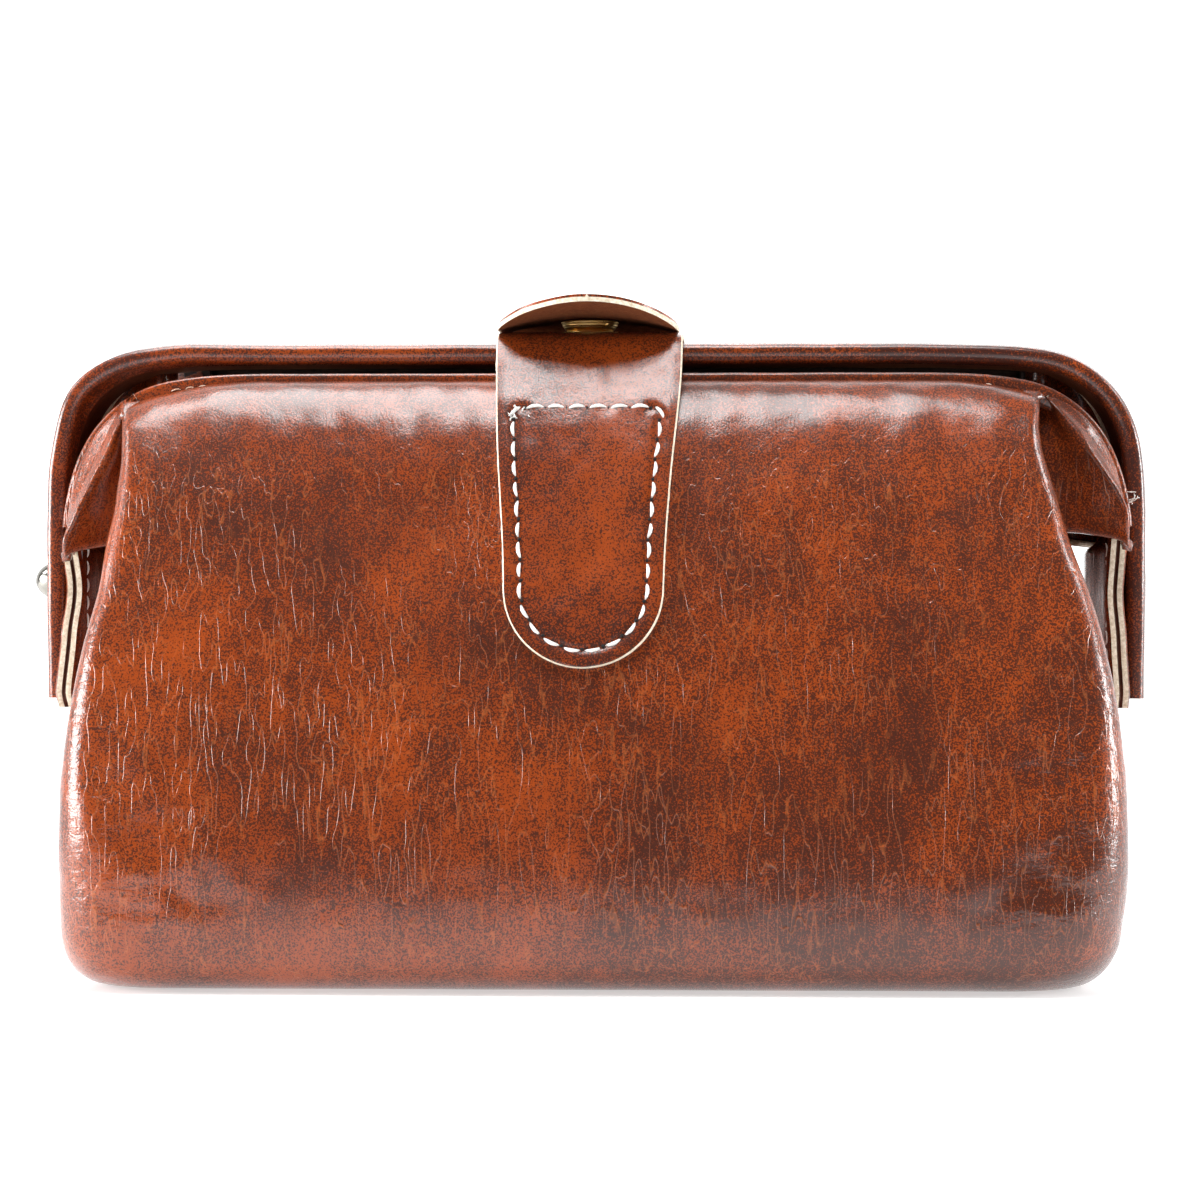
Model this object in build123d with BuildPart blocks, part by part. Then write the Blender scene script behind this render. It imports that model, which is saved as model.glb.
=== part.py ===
"""A frame-mouth cosmetic case: a soft leather bag on two hinged steel frame halves, closed by a snap strap.

X runs across the front, Y from front to back, Z up. The origin is the middle of the base. Sizes are millimetres.
"""

from build123d import *
import os

# Bag body
base_depth = 100.0  # front to back at the fullest height
base_roll_radius = 16.0  # roll of each panel under the base
bag_side_inset = 8.0  # from the outside of the frame in to the bag at its fullest
base_corner = 15.0  # how far each lower corner is rounded in
base_corner_height = 20.0
waist_side_inset = 11.4  # the same half way up
waist_height = 75.0
shoulder_side_inset = 23.5  # the same at the top of the frame
leather = 1.4  # leather of the panels
lining = 0.7
board = 1.6  # stiffener under the lining
layer_gap = 0.1  # between layers that lie on each other
panel_split_height = 80.0  # below this the panels keep their shape when the mouth opens
gusset_rise = 4.0  # how far the gussets and the tub reach above that height
gusset_tuck = 23.0  # how far each gusset folds in at its top
gusset_low_tuck = 3.0

# Side profile of the front and back panels
panel_bulge = 4.28  # how far a panel swells beyond the straight line from base to shoulder
shoulder_height = 118.0
shoulder_share = 0.54  # depth of the shoulder as a share of the base

# Hinge of the two frame halves
hinge_height = 89.0
pin_radius = 1.8
pin_running_gap = 0.06
eye_radius = 7.0

# Frame halves: layers from the outside of the case inwards
frame_half_width = 122.0
frame_top = 141.6
frame_corner_radius = 29.0
cover_leather = 1.3
bar_thickness = 1.4
bar_width = 10.0
facing = 1.0
nest_gap_side = 0.7  # between the outer half's facing and the inner half
nest_gap_top = 3.9
back_cover_front = -10.0
back_cover_rear = 14.0
back_bar_centre = 6.0
front_cover_front = -16.0
front_cover_rear = -4.0
front_bar_centre = -9.6
front_lip = 1.2
back_lip = 2.5
ear_depth = 9.0  # how far the soft cuff beside each frame leg stands off it
front_leg_foot = 97.0  # where the front cover ends and the hinge tab begins
hinge_tab_front = -14.0
hinge_tab_rear = 9.0
hinge_tab_foot = 60.6
back_leg_foot = 62.7
fit_gap = 0.1

# Closure: tab on the front, strap from the back, snap between them
closure_across = -1.5  # the closure is sewn on a little left of the middle
tab_leather = 1.4
tab_half_width_top = 20.0
tab_half_width_low = 17.2
tab_foot = 69.7
tab_split_height = 134.0  # above this the tab goes with the frame
tab_rise = 1.0  # gap between the outer frame half and the tab over it
tab_rear = 10.0
tab_bend_radius = 3.0
strap_leather = 1.6
strap_half_width = 19.2
strap_low_foot = 96.0
strap_fold_height = 143.5
strap_tip = -31.0  # front end of the strap
strap_lift_start = -11.0  # where its free end starts to rise
strap_tip_rise = 2.0
strap_bend_radius = 3.0
snap_centre = -3.0
snap_flange_radius = 6.0
snap_flange = 0.5
stud_radius = 3.6
stud_height = 1.0
socket_radius = 6.2
socket_height = 1.4
snap_gap = 0.3
snap_shank_radius = 1.5
snap_cap_radius = 7.5
snap_cap_height = 1.6
post_flange_radius = 5.0
post_flange = 0.4

# Rivet caps on the hinge
rivet_cap_radius = 5.0
rivet_cap_height = 2.2
rivet_foot_radius = 4.0
rivet_foot_height = 0.8

# Worked out from the sizes above
half_depth = base_depth / 2
gusset_top_height = panel_split_height + gusset_rise
shoulder_depth = shoulder_share * half_depth
bag_half_width = frame_half_width - bag_side_inset
waist_half_width = frame_half_width - waist_side_inset
shoulder_half_width = frame_half_width - shoulder_side_inset
panel_rise = shoulder_height - base_roll_radius
panel_fall = half_depth - shoulder_depth
panel_chord = (panel_rise**2 + panel_fall**2) ** 0.5
swell_depth = (half_depth + shoulder_depth) / 2 + panel_bulge * panel_rise / panel_chord
swell_height = (base_roll_radius + shoulder_height) / 2 + panel_bulge * panel_fall / panel_chord
front_top_depth = -front_cover_front + leather + 2 * layer_gap + 0.2
back_top_depth = back_cover_rear + leather + 4 * layer_gap
back_bar_half = frame_half_width - cover_leather - fit_gap
back_facing_half = back_bar_half - bar_thickness - fit_gap
back_inner_half = back_facing_half - facing
front_cover_half = back_inner_half - nest_gap_side
front_bar_half = front_cover_half - cover_leather + fit_gap
front_facing_half = front_bar_half - bar_thickness - fit_gap
front_inner_half = front_facing_half - facing
front_top = frame_top - (frame_half_width - back_inner_half) - nest_gap_top
front_corner_radius = frame_corner_radius - (frame_half_width - back_inner_half)
panel_front_top = front_top - 1.0
panel_back_top = frame_top - 2.6
tall = 2 * frame_top
wide = 2 * frame_half_width


def write(part, name, across=0.0):
    """Names one finished piece, sets it across the front and writes it."""
    piece = part.part.moved(Location((across, 0, 0)))
    piece.label = name
    export_step(piece, f"parts/{name}.step")
    print(name, round(piece.volume, 1))


def side_profile(grow):
    """The bag seen from its side, as a face that is larger by grow on every side."""
    with BuildSketch(Plane.YZ) as face:
        with BuildLine():
            Line((-half_depth + base_roll_radius, 0), (half_depth - base_roll_radius, 0))
            RadiusArc(
                (half_depth - base_roll_radius, 0), (half_depth, base_roll_radius), -base_roll_radius
            )
            ThreePointArc(
                (half_depth, base_roll_radius),
                (swell_depth, swell_height),
                (shoulder_depth, shoulder_height),
            )
            Line((shoulder_depth, shoulder_height), (back_top_depth, panel_back_top))
            Line((back_top_depth, panel_back_top), (back_top_depth, tall))
            Line((back_top_depth, tall), (-front_top_depth, tall))
            Line((-front_top_depth, tall), (-front_top_depth, panel_front_top))
            Line((-front_top_depth, panel_front_top), (-shoulder_depth, shoulder_height))
            ThreePointArc(
                (-shoulder_depth, shoulder_height),
                (-swell_depth, swell_height),
                (-half_depth, base_roll_radius),
            )
            RadiusArc(
                (-half_depth, base_roll_radius), (-half_depth + base_roll_radius, 0), -base_roll_radius
            )
        make_face()
        if grow:
            offset(amount=grow, kind=Kind.INTERSECTION)
    return face.sketch


def panel_outline(inset):
    """The bag seen from its front, with rounded lower corners and a narrowing top."""
    low = bag_half_width - base_corner - inset
    full = bag_half_width - inset
    with BuildSketch(Plane.XZ) as face:
        with BuildLine():
            Line((-low, 0), (low, 0))
            ThreePointArc(
                (low, 0), (full - 0.28 * base_corner, 0.26 * base_corner_height), (full, base_corner_height)
            )
            ThreePointArc(
                (full, base_corner_height),
                (waist_half_width - inset, waist_height),
                (shoulder_half_width - inset, tall / 2),
            )
            Line((shoulder_half_width - inset, tall / 2), (-shoulder_half_width + inset, tall / 2))
            ThreePointArc(
                (-shoulder_half_width + inset, tall / 2),
                (-waist_half_width + inset, waist_height),
                (-full, base_corner_height),
            )
            ThreePointArc(
                (-full, base_corner_height), (-full + 0.28 * base_corner, 0.26 * base_corner_height), (-low, 0)
            )
        make_face()
    return face.sketch


def skin_piece(outer, thickness, inset, depth_range, height_range):
    """A length of skin between two offsets of the side profile, cut to the front outline and to a box."""
    with BuildPart() as piece:
        extrude(side_profile(outer), amount=wide / 2, both=True)
        extrude(side_profile(outer - thickness), amount=wide / 2, both=True, mode=Mode.SUBTRACT)
        extrude(panel_outline(inset), amount=base_depth, both=True, mode=Mode.INTERSECT)
        low_y, high_y = depth_range
        low_z, high_z = height_range
        with Locations((0, (low_y + high_y) / 2, (low_z + high_z) / 2)):
            Box(wide, high_y - low_y, high_z - low_z, mode=Mode.INTERSECT)
    return piece


def folded_side(side, inset, thickness, low_height, high_height):
    """A gusset: a side wall folded in along its middle, the more the higher it goes."""
    reach = half_depth
    heights = [low_height, base_corner_height, high_height]
    edges = [bag_half_width - base_corner + 4, bag_half_width - 1.5, waist_half_width - 3.0]
    folds = [edges[0] - 1.0, edges[1] - gusset_low_tuck, edges[2] - gusset_tuck]
    with BuildPart() as piece:
        for height, edge, fold in zip(heights, edges, folds):
            with BuildSketch(Plane.XY.offset(height)):
                with BuildLine():
                    Polyline(
                        (side * (edge - inset), -reach),
                        (side * (fold - inset), 0),
                        (side * (edge - inset), reach),
                        (side * (edge - inset - thickness), reach),
                        (side * (fold - inset - thickness), 0),
                        (side * (edge - inset - thickness), -reach),
                        close=True,
                    )
                make_face()
        loft(ruled=True)
        extrude(
            side_profile(-leather - layer_gap - inset), amount=wide / 2, both=True, mode=Mode.INTERSECT
        )
    return piece


def arch(half_width, top, radius, foot):
    """A door-shaped face in XZ: straight legs and two rounded upper corners."""
    with BuildSketch(Plane.XZ) as face:
        with Locations((0, (foot + top) / 2)):
            Rectangle(2 * half_width, top - foot)
        fillet(face.vertices().group_by(Axis.Y)[-1], radius=radius)
    return face.sketch


def frame_layer(half_width, top, radius, thickness, front, rear, foot):
    """One U-shaped layer of a frame half, from front to rear."""
    outer = arch(half_width, top, radius, foot)
    inner = arch(half_width - thickness, top - thickness, radius - thickness, foot)
    with BuildPart() as layer:
        extrude(outer, amount=-(rear - front))
        extrude(inner, amount=-(rear - front), mode=Mode.SUBTRACT)
    return layer.part.moved(Location((0, front, 0)))


def leg_eye(side, half_width, thickness, leg_centre, top, grow):
    """The flat foot of a frame leg, which runs to the hinge pin and ends in a round eye."""
    with BuildPart() as eye:
        with BuildSketch(Plane.YZ.offset(side * (half_width - thickness))):
            with Locations((0, hinge_height)):
                Circle(eye_radius + grow)
            with Locations((leg_centre, top - 1)):
                Rectangle(bar_width + 2 * grow, 2)
            make_hull()
        extrude(amount=side * thickness)
    return eye.part


def frame_bar(half_width, top, radius, leg_centre):
    """A steel frame half: a flat bar bent to a U, with an eye at each foot bored for the hinge pin."""
    leg_end = front_leg_foot + 4
    front = leg_centre - bar_width / 2
    hoop = frame_layer(half_width, top, radius, bar_thickness, front, front + bar_width, leg_end)
    left_eye, right_eye = (
        leg_eye(side, half_width, bar_thickness, leg_centre, leg_end, 0) for side in (-1, 1)
    )
    with BuildPart() as bar:
        add(hoop)
        add(left_eye)
        add(right_eye)
        with BuildSketch(Plane.YZ):
            with Locations((0, hinge_height)):
                Circle(pin_radius + pin_running_gap)
        extrude(amount=wide, both=True, mode=Mode.SUBTRACT)
    return bar


def pin_face(clearance):
    """The round section of the hinge pins with some clearance."""
    with BuildSketch(Plane.YZ) as hole:
        with Locations((0, hinge_height)):
            Circle(pin_radius + clearance)
    return hole.sketch


os.makedirs("parts", exist_ok=True)

# Base and lower panels: these keep their shape
flat_half = half_depth - base_roll_radius
base_strip = skin_piece(0, leather, 0, (-flat_half, flat_half), (0, leather * 2))
write(base_strip, "base_panel")

front_panel = skin_piece(0, leather, 0, (-half_depth - 1, -flat_half - layer_gap), (0, panel_split_height))
write(front_panel, "front_panel")

back_panel = skin_piece(0, leather, 0, (flat_half + layer_gap, half_depth + 1), (0, panel_split_height))
write(back_panel, "back_panel")

for name, side in (("left", -1), ("right", 1)):
    write(
        folded_side(side, 0, leather, leather + layer_gap, gusset_top_height),
        f"{name}_gusset",
    )
    write(
        folded_side(
            side,
            leather + layer_gap,
            lining,
            leather + board + 2 * layer_gap,
            gusset_top_height - layer_gap,
        ),
        f"{name}_gusset_lining",
    )

board_half_width = bag_half_width - base_corner - leather - 2
with BuildPart() as base_board:
    with Locations((0, 0, leather + layer_gap + board / 2)):
        Box(2 * board_half_width, 2 * flat_half - 4, board)
    fillet(base_board.edges().filter_by(Axis.Z), radius=6)
write(base_board, "base_board")

# Lining of the tub: it lies on the board and climbs both panels
lining_inset = leather + layer_gap
side_clear = 11.0
lining_floor = leather + board + 2 * layer_gap
tub_wall = skin_piece(
    -lining_inset,
    lining,
    side_clear,
    (-half_depth, half_depth),
    (lining_floor, panel_split_height),
).part
with BuildPart() as tub_lining:
    extrude(side_profile(-lining_inset), amount=board_half_width, both=True)
    with Locations((0, 0, lining_floor + lining / 2)):
        Box(wide, base_depth, lining, mode=Mode.INTERSECT)
    add(tub_wall)
write(tub_lining, "tub_lining")

# Upper panels: soft, they fold out with the frame halves
front_panel_upper = skin_piece(
    0,
    leather,
    0,
    (-half_depth, front_cover_front - layer_gap),
    (panel_split_height + layer_gap, panel_front_top),
)
write(front_panel_upper, "front_panel_upper")

back_panel_upper = skin_piece(
    0,
    leather,
    0,
    (back_cover_rear + layer_gap, half_depth),
    (panel_split_height + layer_gap, panel_back_top),
)
write(back_panel_upper, "back_panel_upper")

lining_top = front_top - (front_cover_half - front_inner_half) - 1.5
for name, depths in (
    ("front_lining_upper", (-half_depth, 0)),
    ("back_lining_upper", (0, half_depth)),
):
    write(
        skin_piece(
            -lining_inset,
            lining,
            4,
            depths,
            (gusset_top_height + layer_gap, lining_top),
        ),
        name,
    )


# Gusset ears: leather that wraps each frame leg beside the panels
def ear(side, direction, leg_face, leg_half, low_depth):
    """A soft cuff in front of a frame leg, narrow under the frame corner and wide above the hinge."""
    low_height = front_leg_foot - 1
    high_height = shoulder_height + 8
    low_inner = waist_half_width - 4.4
    high_inner = shoulder_half_width + 1.6
    near = leg_face + direction * 2 * layer_gap
    with BuildPart() as cuff:
        for height, inner, outer, depth in (
            (low_height, low_inner, leg_half, low_depth),
            (high_height, high_inner, high_inner + 5.0, low_depth / 3),
        ):
            with BuildSketch(Plane.XY.offset(height)) as section:
                with Locations((side * (inner + outer) / 2, near + direction * depth / 2)):
                    RectangleRounded(outer - inner, depth, min(depth, outer - inner) * 0.4)
        loft()
    return cuff


for name, side in (("left", -1), ("right", 1)):
    write(ear(side, -1, front_cover_front, front_cover_half + 0.4, ear_depth), f"front_{name}_ear")
    write(ear(side, 1, back_cover_rear, back_bar_half, ear_depth), f"back_{name}_ear")

# Front frame half: steel bar in a sewn sleeve
front_bar = frame_bar(
    front_bar_half,
    front_top - cover_leather + fit_gap,
    front_corner_radius - cover_leather,
    front_bar_centre,
)
write(front_bar, "front_frame_bar")

sleeve_leather = cover_leather - 2 * fit_gap
sleeve_wrap = front_cover_half - front_inner_half
sleeve_top = frame_layer(
    front_cover_half,
    front_top,
    front_corner_radius,
    sleeve_leather,
    front_cover_front,
    front_cover_rear,
    front_leg_foot,
)
sleeve_lip = frame_layer(
    front_cover_half,
    front_top,
    front_corner_radius,
    sleeve_wrap,
    front_cover_front,
    front_cover_front + front_lip,
    front_leg_foot,
)
with BuildPart() as front_sleeve:
    add(sleeve_top)
    add(sleeve_lip)
    fillet(
        front_sleeve.faces().sort_by(Axis.Y)[0].edges().filter_by(GeomType.LINE).filter_by(Axis.X),
        radius=0.5,
    )
write(front_sleeve, "front_frame_sleeve")

facing_drop = front_cover_half - front_facing_half
front_facing_layer = frame_layer(
    front_facing_half,
    front_top - facing_drop,
    front_corner_radius - facing_drop,
    facing,
    front_cover_front + front_lip + fit_gap,
    front_cover_rear,
    front_leg_foot,
)
with BuildPart() as front_facing:
    add(front_facing_layer)
write(front_facing, "front_frame_facing")

# Hinge tabs: folded leather round each front leg, raw edges to the front
tab_pocket_top = front_leg_foot + 4
for name, side in (("left", -1), ("right", 1)):
    middle = side * (front_cover_half + front_inner_half) / 2
    tab_top = front_leg_foot - fit_gap
    eye_pocket = leg_eye(
        side,
        front_bar_half + fit_gap / 2,
        bar_thickness + fit_gap,
        front_bar_centre,
        tab_pocket_top,
        fit_gap,
    )
    with BuildPart() as hinge_tab:
        with Locations(
            (middle, (hinge_tab_front + hinge_tab_rear) / 2, (hinge_tab_foot + tab_top) / 2)
        ):
            Box(
                front_cover_half - front_inner_half,
                hinge_tab_rear - hinge_tab_front,
                tab_top - hinge_tab_foot,
            )
        fillet(hinge_tab.edges().filter_by(Axis.X).group_by(Axis.Z)[0], radius=3)
        add(eye_pocket, mode=Mode.SUBTRACT)
        extrude(pin_face(pin_running_gap), amount=wide, both=True, mode=Mode.SUBTRACT)
    write(hinge_tab, f"{name}_hinge_tab")

# Back frame half: steel bar in a wide cover with a rolled front edge
back_bar = frame_bar(
    back_bar_half,
    frame_top - cover_leather - fit_gap,
    frame_corner_radius - cover_leather - fit_gap,
    back_bar_centre,
)
write(back_bar, "back_frame_bar")

cover_wrap = frame_half_width - back_inner_half
cover_top = frame_layer(
    frame_half_width,
    frame_top,
    frame_corner_radius,
    cover_leather,
    back_cover_front,
    back_cover_rear,
    back_leg_foot,
)
cover_roll = frame_layer(
    frame_half_width,
    frame_top,
    frame_corner_radius,
    cover_wrap,
    back_cover_front,
    back_cover_front + back_lip,
    back_leg_foot,
)
with BuildPart() as back_cover:
    add(cover_top)
    add(cover_roll)
    fillet(back_cover.faces().sort_by(Axis.Y)[0].outer_wire().edges(), radius=1.2)
    extrude(pin_face(0), amount=wide, both=True, mode=Mode.SUBTRACT)
write(back_cover, "back_frame_cover")

back_drop = frame_half_width - back_facing_half
back_facing_layer = frame_layer(
    back_facing_half,
    frame_top - back_drop,
    frame_corner_radius - back_drop,
    facing,
    back_cover_front + back_lip + fit_gap,
    back_cover_rear,
    back_leg_foot,
)
with BuildPart() as back_facing:
    add(back_facing_layer)
    extrude(pin_face(0), amount=wide, both=True, mode=Mode.SUBTRACT)
write(back_facing, "back_frame_facing")

# Hinge rivets: a domed cap outside, a shank through both halves, a peened foot inside
for name, side in (("left", -1), ("right", 1)):
    outer_face = side * (frame_half_width + fit_gap / 2)
    inner_face = side * (front_inner_half - fit_gap)
    with BuildPart() as rivet:
        with BuildSketch(Plane.YZ.offset(inner_face)):
            with Locations((0, hinge_height)):
                Circle(pin_radius)
        extrude(amount=outer_face - inner_face)
        with BuildSketch(Plane.YZ.offset(inner_face)):
            with Locations((0, hinge_height)):
                Circle(rivet_foot_radius)
        extrude(amount=-side * rivet_foot_height)
    write(rivet, f"{name}_hinge_rivet")
    with BuildPart() as rivet_cap:
        with BuildSketch(Plane.YZ.offset(outer_face)):
            with Locations((0, hinge_height)):
                Circle(rivet_cap_radius)
        extrude(amount=side * rivet_cap_height)
        rim = rivet_cap.edges().filter_by(GeomType.CIRCLE).sort_by(Axis.X)
        fillet(rim[-1] if side > 0 else rim[0], radius=rivet_cap_height * 0.9)
    write(rivet_cap, f"{name}_rivet_cap")

# Closure tab: sewn to the front panel, then over the frame
tab_inner = layer_gap
tab_outer = layer_gap + tab_leather


def tab_outline():
    """The tab seen from the front: slightly tapered with a round lower end."""
    round_height = tab_foot + tab_half_width_low
    with BuildSketch(Plane.XZ) as face:
        with BuildLine():
            ThreePointArc(
                (-tab_half_width_low, round_height), (0, tab_foot), (tab_half_width_low, round_height)
            )
            Line((tab_half_width_low, round_height), (tab_half_width_top, tab_split_height))
            Line((tab_half_width_top, tab_split_height), (-tab_half_width_top, tab_split_height))
            Line((-tab_half_width_top, tab_split_height), (-tab_half_width_low, round_height))
        make_face()
    return face.sketch


with BuildPart() as closure_tab:
    extrude(side_profile(tab_outer), amount=wide / 2, both=True)
    extrude(side_profile(tab_inner), amount=wide / 2, both=True, mode=Mode.SUBTRACT)
    extrude(tab_outline(), amount=base_depth, mode=Mode.INTERSECT)
write(closure_tab, "closure_tab", closure_across)

tab_under = frame_top + tab_rise
tab_upper = tab_under + tab_leather
tab_face = -front_top_depth - layer_gap
with BuildPart() as closure_tab_top:
    with BuildSketch(Plane.YZ) as bend:
        with BuildLine():
            Polyline(
                (tab_face, tab_split_height + layer_gap),
                (tab_face - tab_leather, tab_split_height + layer_gap),
                (tab_face - tab_leather, tab_upper),
                (tab_rear, tab_upper),
                (tab_rear, tab_under),
                (tab_face, tab_under),
                close=True,
            )
        make_face()
        outer_corner = bend.vertices().sort_by_distance((tab_face - tab_leather, tab_upper))[0]
        fillet(outer_corner, radius=tab_bend_radius)
        inner_corner = bend.vertices().sort_by_distance((tab_face, tab_under))[0]
        fillet(inner_corner, radius=tab_bend_radius - tab_leather)
    extrude(amount=tab_half_width_top, both=True)
    with BuildSketch(Plane.XY.offset(tab_under)):
        with Locations((0, snap_centre)):
            Circle(post_flange_radius + fit_gap)
    extrude(amount=post_flange + fit_gap, mode=Mode.SUBTRACT)
    with BuildSketch(Plane.XY.offset(tab_under)):
        with Locations((0, snap_centre)):
            Circle(snap_shank_radius)
    extrude(amount=2 * tab_leather, mode=Mode.SUBTRACT)
write(closure_tab_top, "closure_tab_top", closure_across)

# Snap: stud on the tab, socket and cap on the strap
with BuildPart() as snap_post:
    with BuildSketch(Plane.XY.offset(tab_under + fit_gap / 2)):
        with Locations((0, snap_centre)):
            Circle(post_flange_radius)
    extrude(amount=post_flange)
    with BuildSketch(Plane.XY.offset(tab_under + fit_gap / 2)):
        with Locations((0, snap_centre)):
            Circle(snap_shank_radius)
    extrude(amount=tab_leather + snap_flange - fit_gap)
write(snap_post, "snap_post", closure_across)

with BuildPart() as snap_stud:
    with BuildSketch(Plane.XY.offset(tab_upper)):
        with Locations((0, snap_centre)):
            Circle(snap_flange_radius)
    extrude(amount=snap_flange)
    with BuildSketch(Plane.XY.offset(tab_upper + snap_flange)):
        with Locations((0, snap_centre)):
            Circle(stud_radius)
    extrude(amount=stud_height)
    fillet(snap_stud.edges().group_by(Axis.Z)[-1], radius=0.4)
    with BuildSketch(Plane.XY.offset(tab_upper)):
        with Locations((0, snap_centre)):
            Circle(snap_shank_radius)
    extrude(amount=snap_flange, mode=Mode.SUBTRACT)
write(snap_stud, "snap_stud", closure_across)

socket_face = tab_upper + snap_flange + stud_height + snap_gap
strap_under = socket_face + socket_height
strap_upper = strap_under + strap_leather
with BuildPart() as snap_socket:
    with BuildSketch(Plane.XY.offset(socket_face)):
        with Locations((0, snap_centre)):
            Circle(socket_radius)
    extrude(amount=socket_height)
    fillet(snap_socket.edges().group_by(Axis.Z)[0], radius=0.5)
    with BuildSketch(Plane.XY.offset(socket_face)):
        with Locations((0, snap_centre)):
            Circle(stud_radius + 0.2)
    extrude(amount=stud_height - 0.1, mode=Mode.SUBTRACT)
write(snap_socket, "snap_socket", closure_across)

with BuildPart() as snap_cap:
    with BuildSketch(Plane.XY.offset(strap_upper)):
        with Locations((0, snap_centre)):
            Circle(snap_cap_radius)
    extrude(amount=snap_cap_height)
    fillet(snap_cap.edges().group_by(Axis.Z)[-1], radius=snap_cap_height * 0.9)
    with BuildSketch(Plane.XY.offset(strap_upper)):
        with Locations((0, snap_centre)):
            Circle(snap_shank_radius)
    extrude(amount=-strap_leather)
write(snap_cap, "snap_cap", closure_across)

# Closure strap: free end over the tab, fold behind the frame, foot sewn to the back panel
strap_inner = back_top_depth + 2 * layer_gap
strap_outer = strap_inner + strap_leather
with BuildPart() as closure_strap:
    with BuildSketch(Plane.YZ) as strip:
        with BuildLine():
            Polyline(
                (strap_inner, strap_fold_height + layer_gap),
                (strap_outer, strap_fold_height + layer_gap),
                (strap_outer, strap_upper),
                (strap_lift_start, strap_upper),
                (strap_tip, strap_upper + strap_tip_rise),
                (strap_tip, strap_under + strap_tip_rise),
                (strap_lift_start, strap_under),
                (strap_inner, strap_under),
                close=True,
            )
        make_face()
        outer_corner = strip.vertices().sort_by_distance((strap_outer, strap_upper))[0]
        fillet(outer_corner, radius=strap_bend_radius)
        inner_corner = strip.vertices().sort_by_distance((strap_inner, strap_under))[0]
        fillet(inner_corner, radius=strap_bend_radius - strap_leather)
    extrude(amount=strap_half_width, both=True)
    with BuildSketch(Plane.XY.offset(strap_fold_height - 1)) as plan:
        with BuildLine():
            round_start = strap_tip + strap_half_width * 0.8
            ThreePointArc(
                (-strap_half_width, round_start), (0, strap_tip), (strap_half_width, round_start)
            )
            Line((strap_half_width, round_start), (strap_half_width, strap_outer + 1))
            Line((strap_half_width, strap_outer + 1), (-strap_half_width, strap_outer + 1))
            Line((-strap_half_width, strap_outer + 1), (-strap_half_width, round_start))
        make_face()
    extrude(amount=tall, mode=Mode.INTERSECT)
    with BuildSketch(Plane.XY.offset(strap_under - 1)):
        with Locations((0, snap_centre)):
            Circle(snap_shank_radius)
    extrude(amount=2 * strap_leather + 2, mode=Mode.SUBTRACT)
write(closure_strap, "closure_strap", closure_across)

with BuildPart() as strap_root:
    with Locations((0, (strap_inner + strap_outer) / 2, (panel_back_top + strap_fold_height) / 2)):
        Box(2 * strap_half_width, strap_leather, strap_fold_height - panel_back_top - 2 * layer_gap)
write(strap_root, "strap_root", closure_across)

with BuildPart() as strap_foot:
    extrude(side_profile(2 * layer_gap + strap_leather), amount=strap_half_width, both=True)
    extrude(side_profile(2 * layer_gap), amount=strap_half_width, both=True, mode=Mode.SUBTRACT)
    with Locations((0, half_depth / 2 + 5, (strap_low_foot + panel_back_top) / 2)):
        Box(wide, half_depth, panel_back_top - strap_low_foot, mode=Mode.INTERSECT)
write(strap_foot, "strap_foot", closure_across)
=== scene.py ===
# %% [markdown]
# # A glazed leather cosmetic case with a hinged frame mouth
# The case is a soft bag hung in two steel hoops that turn on one pair of side rivets. A strap comes over
# from behind and snaps onto a tab on the front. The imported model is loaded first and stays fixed: it says
# where each piece is and how it moves, and every new piece is made round it.

import math
import random

import bpy
import numpy as np
from mathutils import Matrix, Vector, noise


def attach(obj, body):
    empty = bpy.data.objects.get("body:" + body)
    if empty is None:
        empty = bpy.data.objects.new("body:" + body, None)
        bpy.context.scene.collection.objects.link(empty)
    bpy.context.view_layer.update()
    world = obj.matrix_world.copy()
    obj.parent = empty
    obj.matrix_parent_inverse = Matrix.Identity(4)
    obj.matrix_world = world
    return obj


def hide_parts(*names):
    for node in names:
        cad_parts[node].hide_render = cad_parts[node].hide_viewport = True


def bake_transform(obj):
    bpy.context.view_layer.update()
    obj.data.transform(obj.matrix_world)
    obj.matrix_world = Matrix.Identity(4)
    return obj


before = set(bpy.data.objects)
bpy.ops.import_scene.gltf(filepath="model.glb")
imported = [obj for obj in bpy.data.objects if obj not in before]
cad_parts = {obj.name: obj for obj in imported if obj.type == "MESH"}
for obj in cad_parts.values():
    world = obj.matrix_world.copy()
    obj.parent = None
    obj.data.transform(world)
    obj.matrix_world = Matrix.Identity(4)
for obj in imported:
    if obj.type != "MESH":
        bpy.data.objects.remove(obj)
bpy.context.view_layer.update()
MM = 0.001
PICTURE_SIDE = 1200
print("nodes loaded:", len(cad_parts))

# %% [markdown]
# ## Camera
# The photograph was taken with a long lens, level with the middle of the case and a touch to its right,
# so that a little more of the right ear shows. A long lens from 0.85 m gives the same weak perspective.

# %% Camera
YAW = math.radians(2.2)
CAMERA_DISTANCE = 0.850
CAMERA_HEIGHT = 0.0846
CAMERA_SIDE = 0.00062
POINTS_TO_METRE = 4430.0
FRAME_WIDTH = PICTURE_SIDE / POINTS_TO_METRE  # metres that the picture spans at the hinge
SENSOR = 36.0
side_axis = Vector((math.cos(YAW), math.sin(YAW), 0))
view_axis = Vector((-math.sin(YAW), math.cos(YAW), 0))

camera_data = bpy.data.cameras.new("camera")
camera_data.sensor_fit = "HORIZONTAL"
camera_data.sensor_width = SENSOR
camera_data.lens = SENSOR * CAMERA_DISTANCE / FRAME_WIDTH
camera = bpy.data.objects.new("camera", camera_data)
bpy.context.collection.objects.link(camera)
camera.location = (
    side_axis * CAMERA_SIDE - view_axis * CAMERA_DISTANCE + Vector((0, 0, CAMERA_HEIGHT))
)
camera.rotation_euler = (math.pi / 2, 0, YAW)
bpy.context.scene.camera = camera
print("lens:", round(camera_data.lens, 1), "mm")

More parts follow.
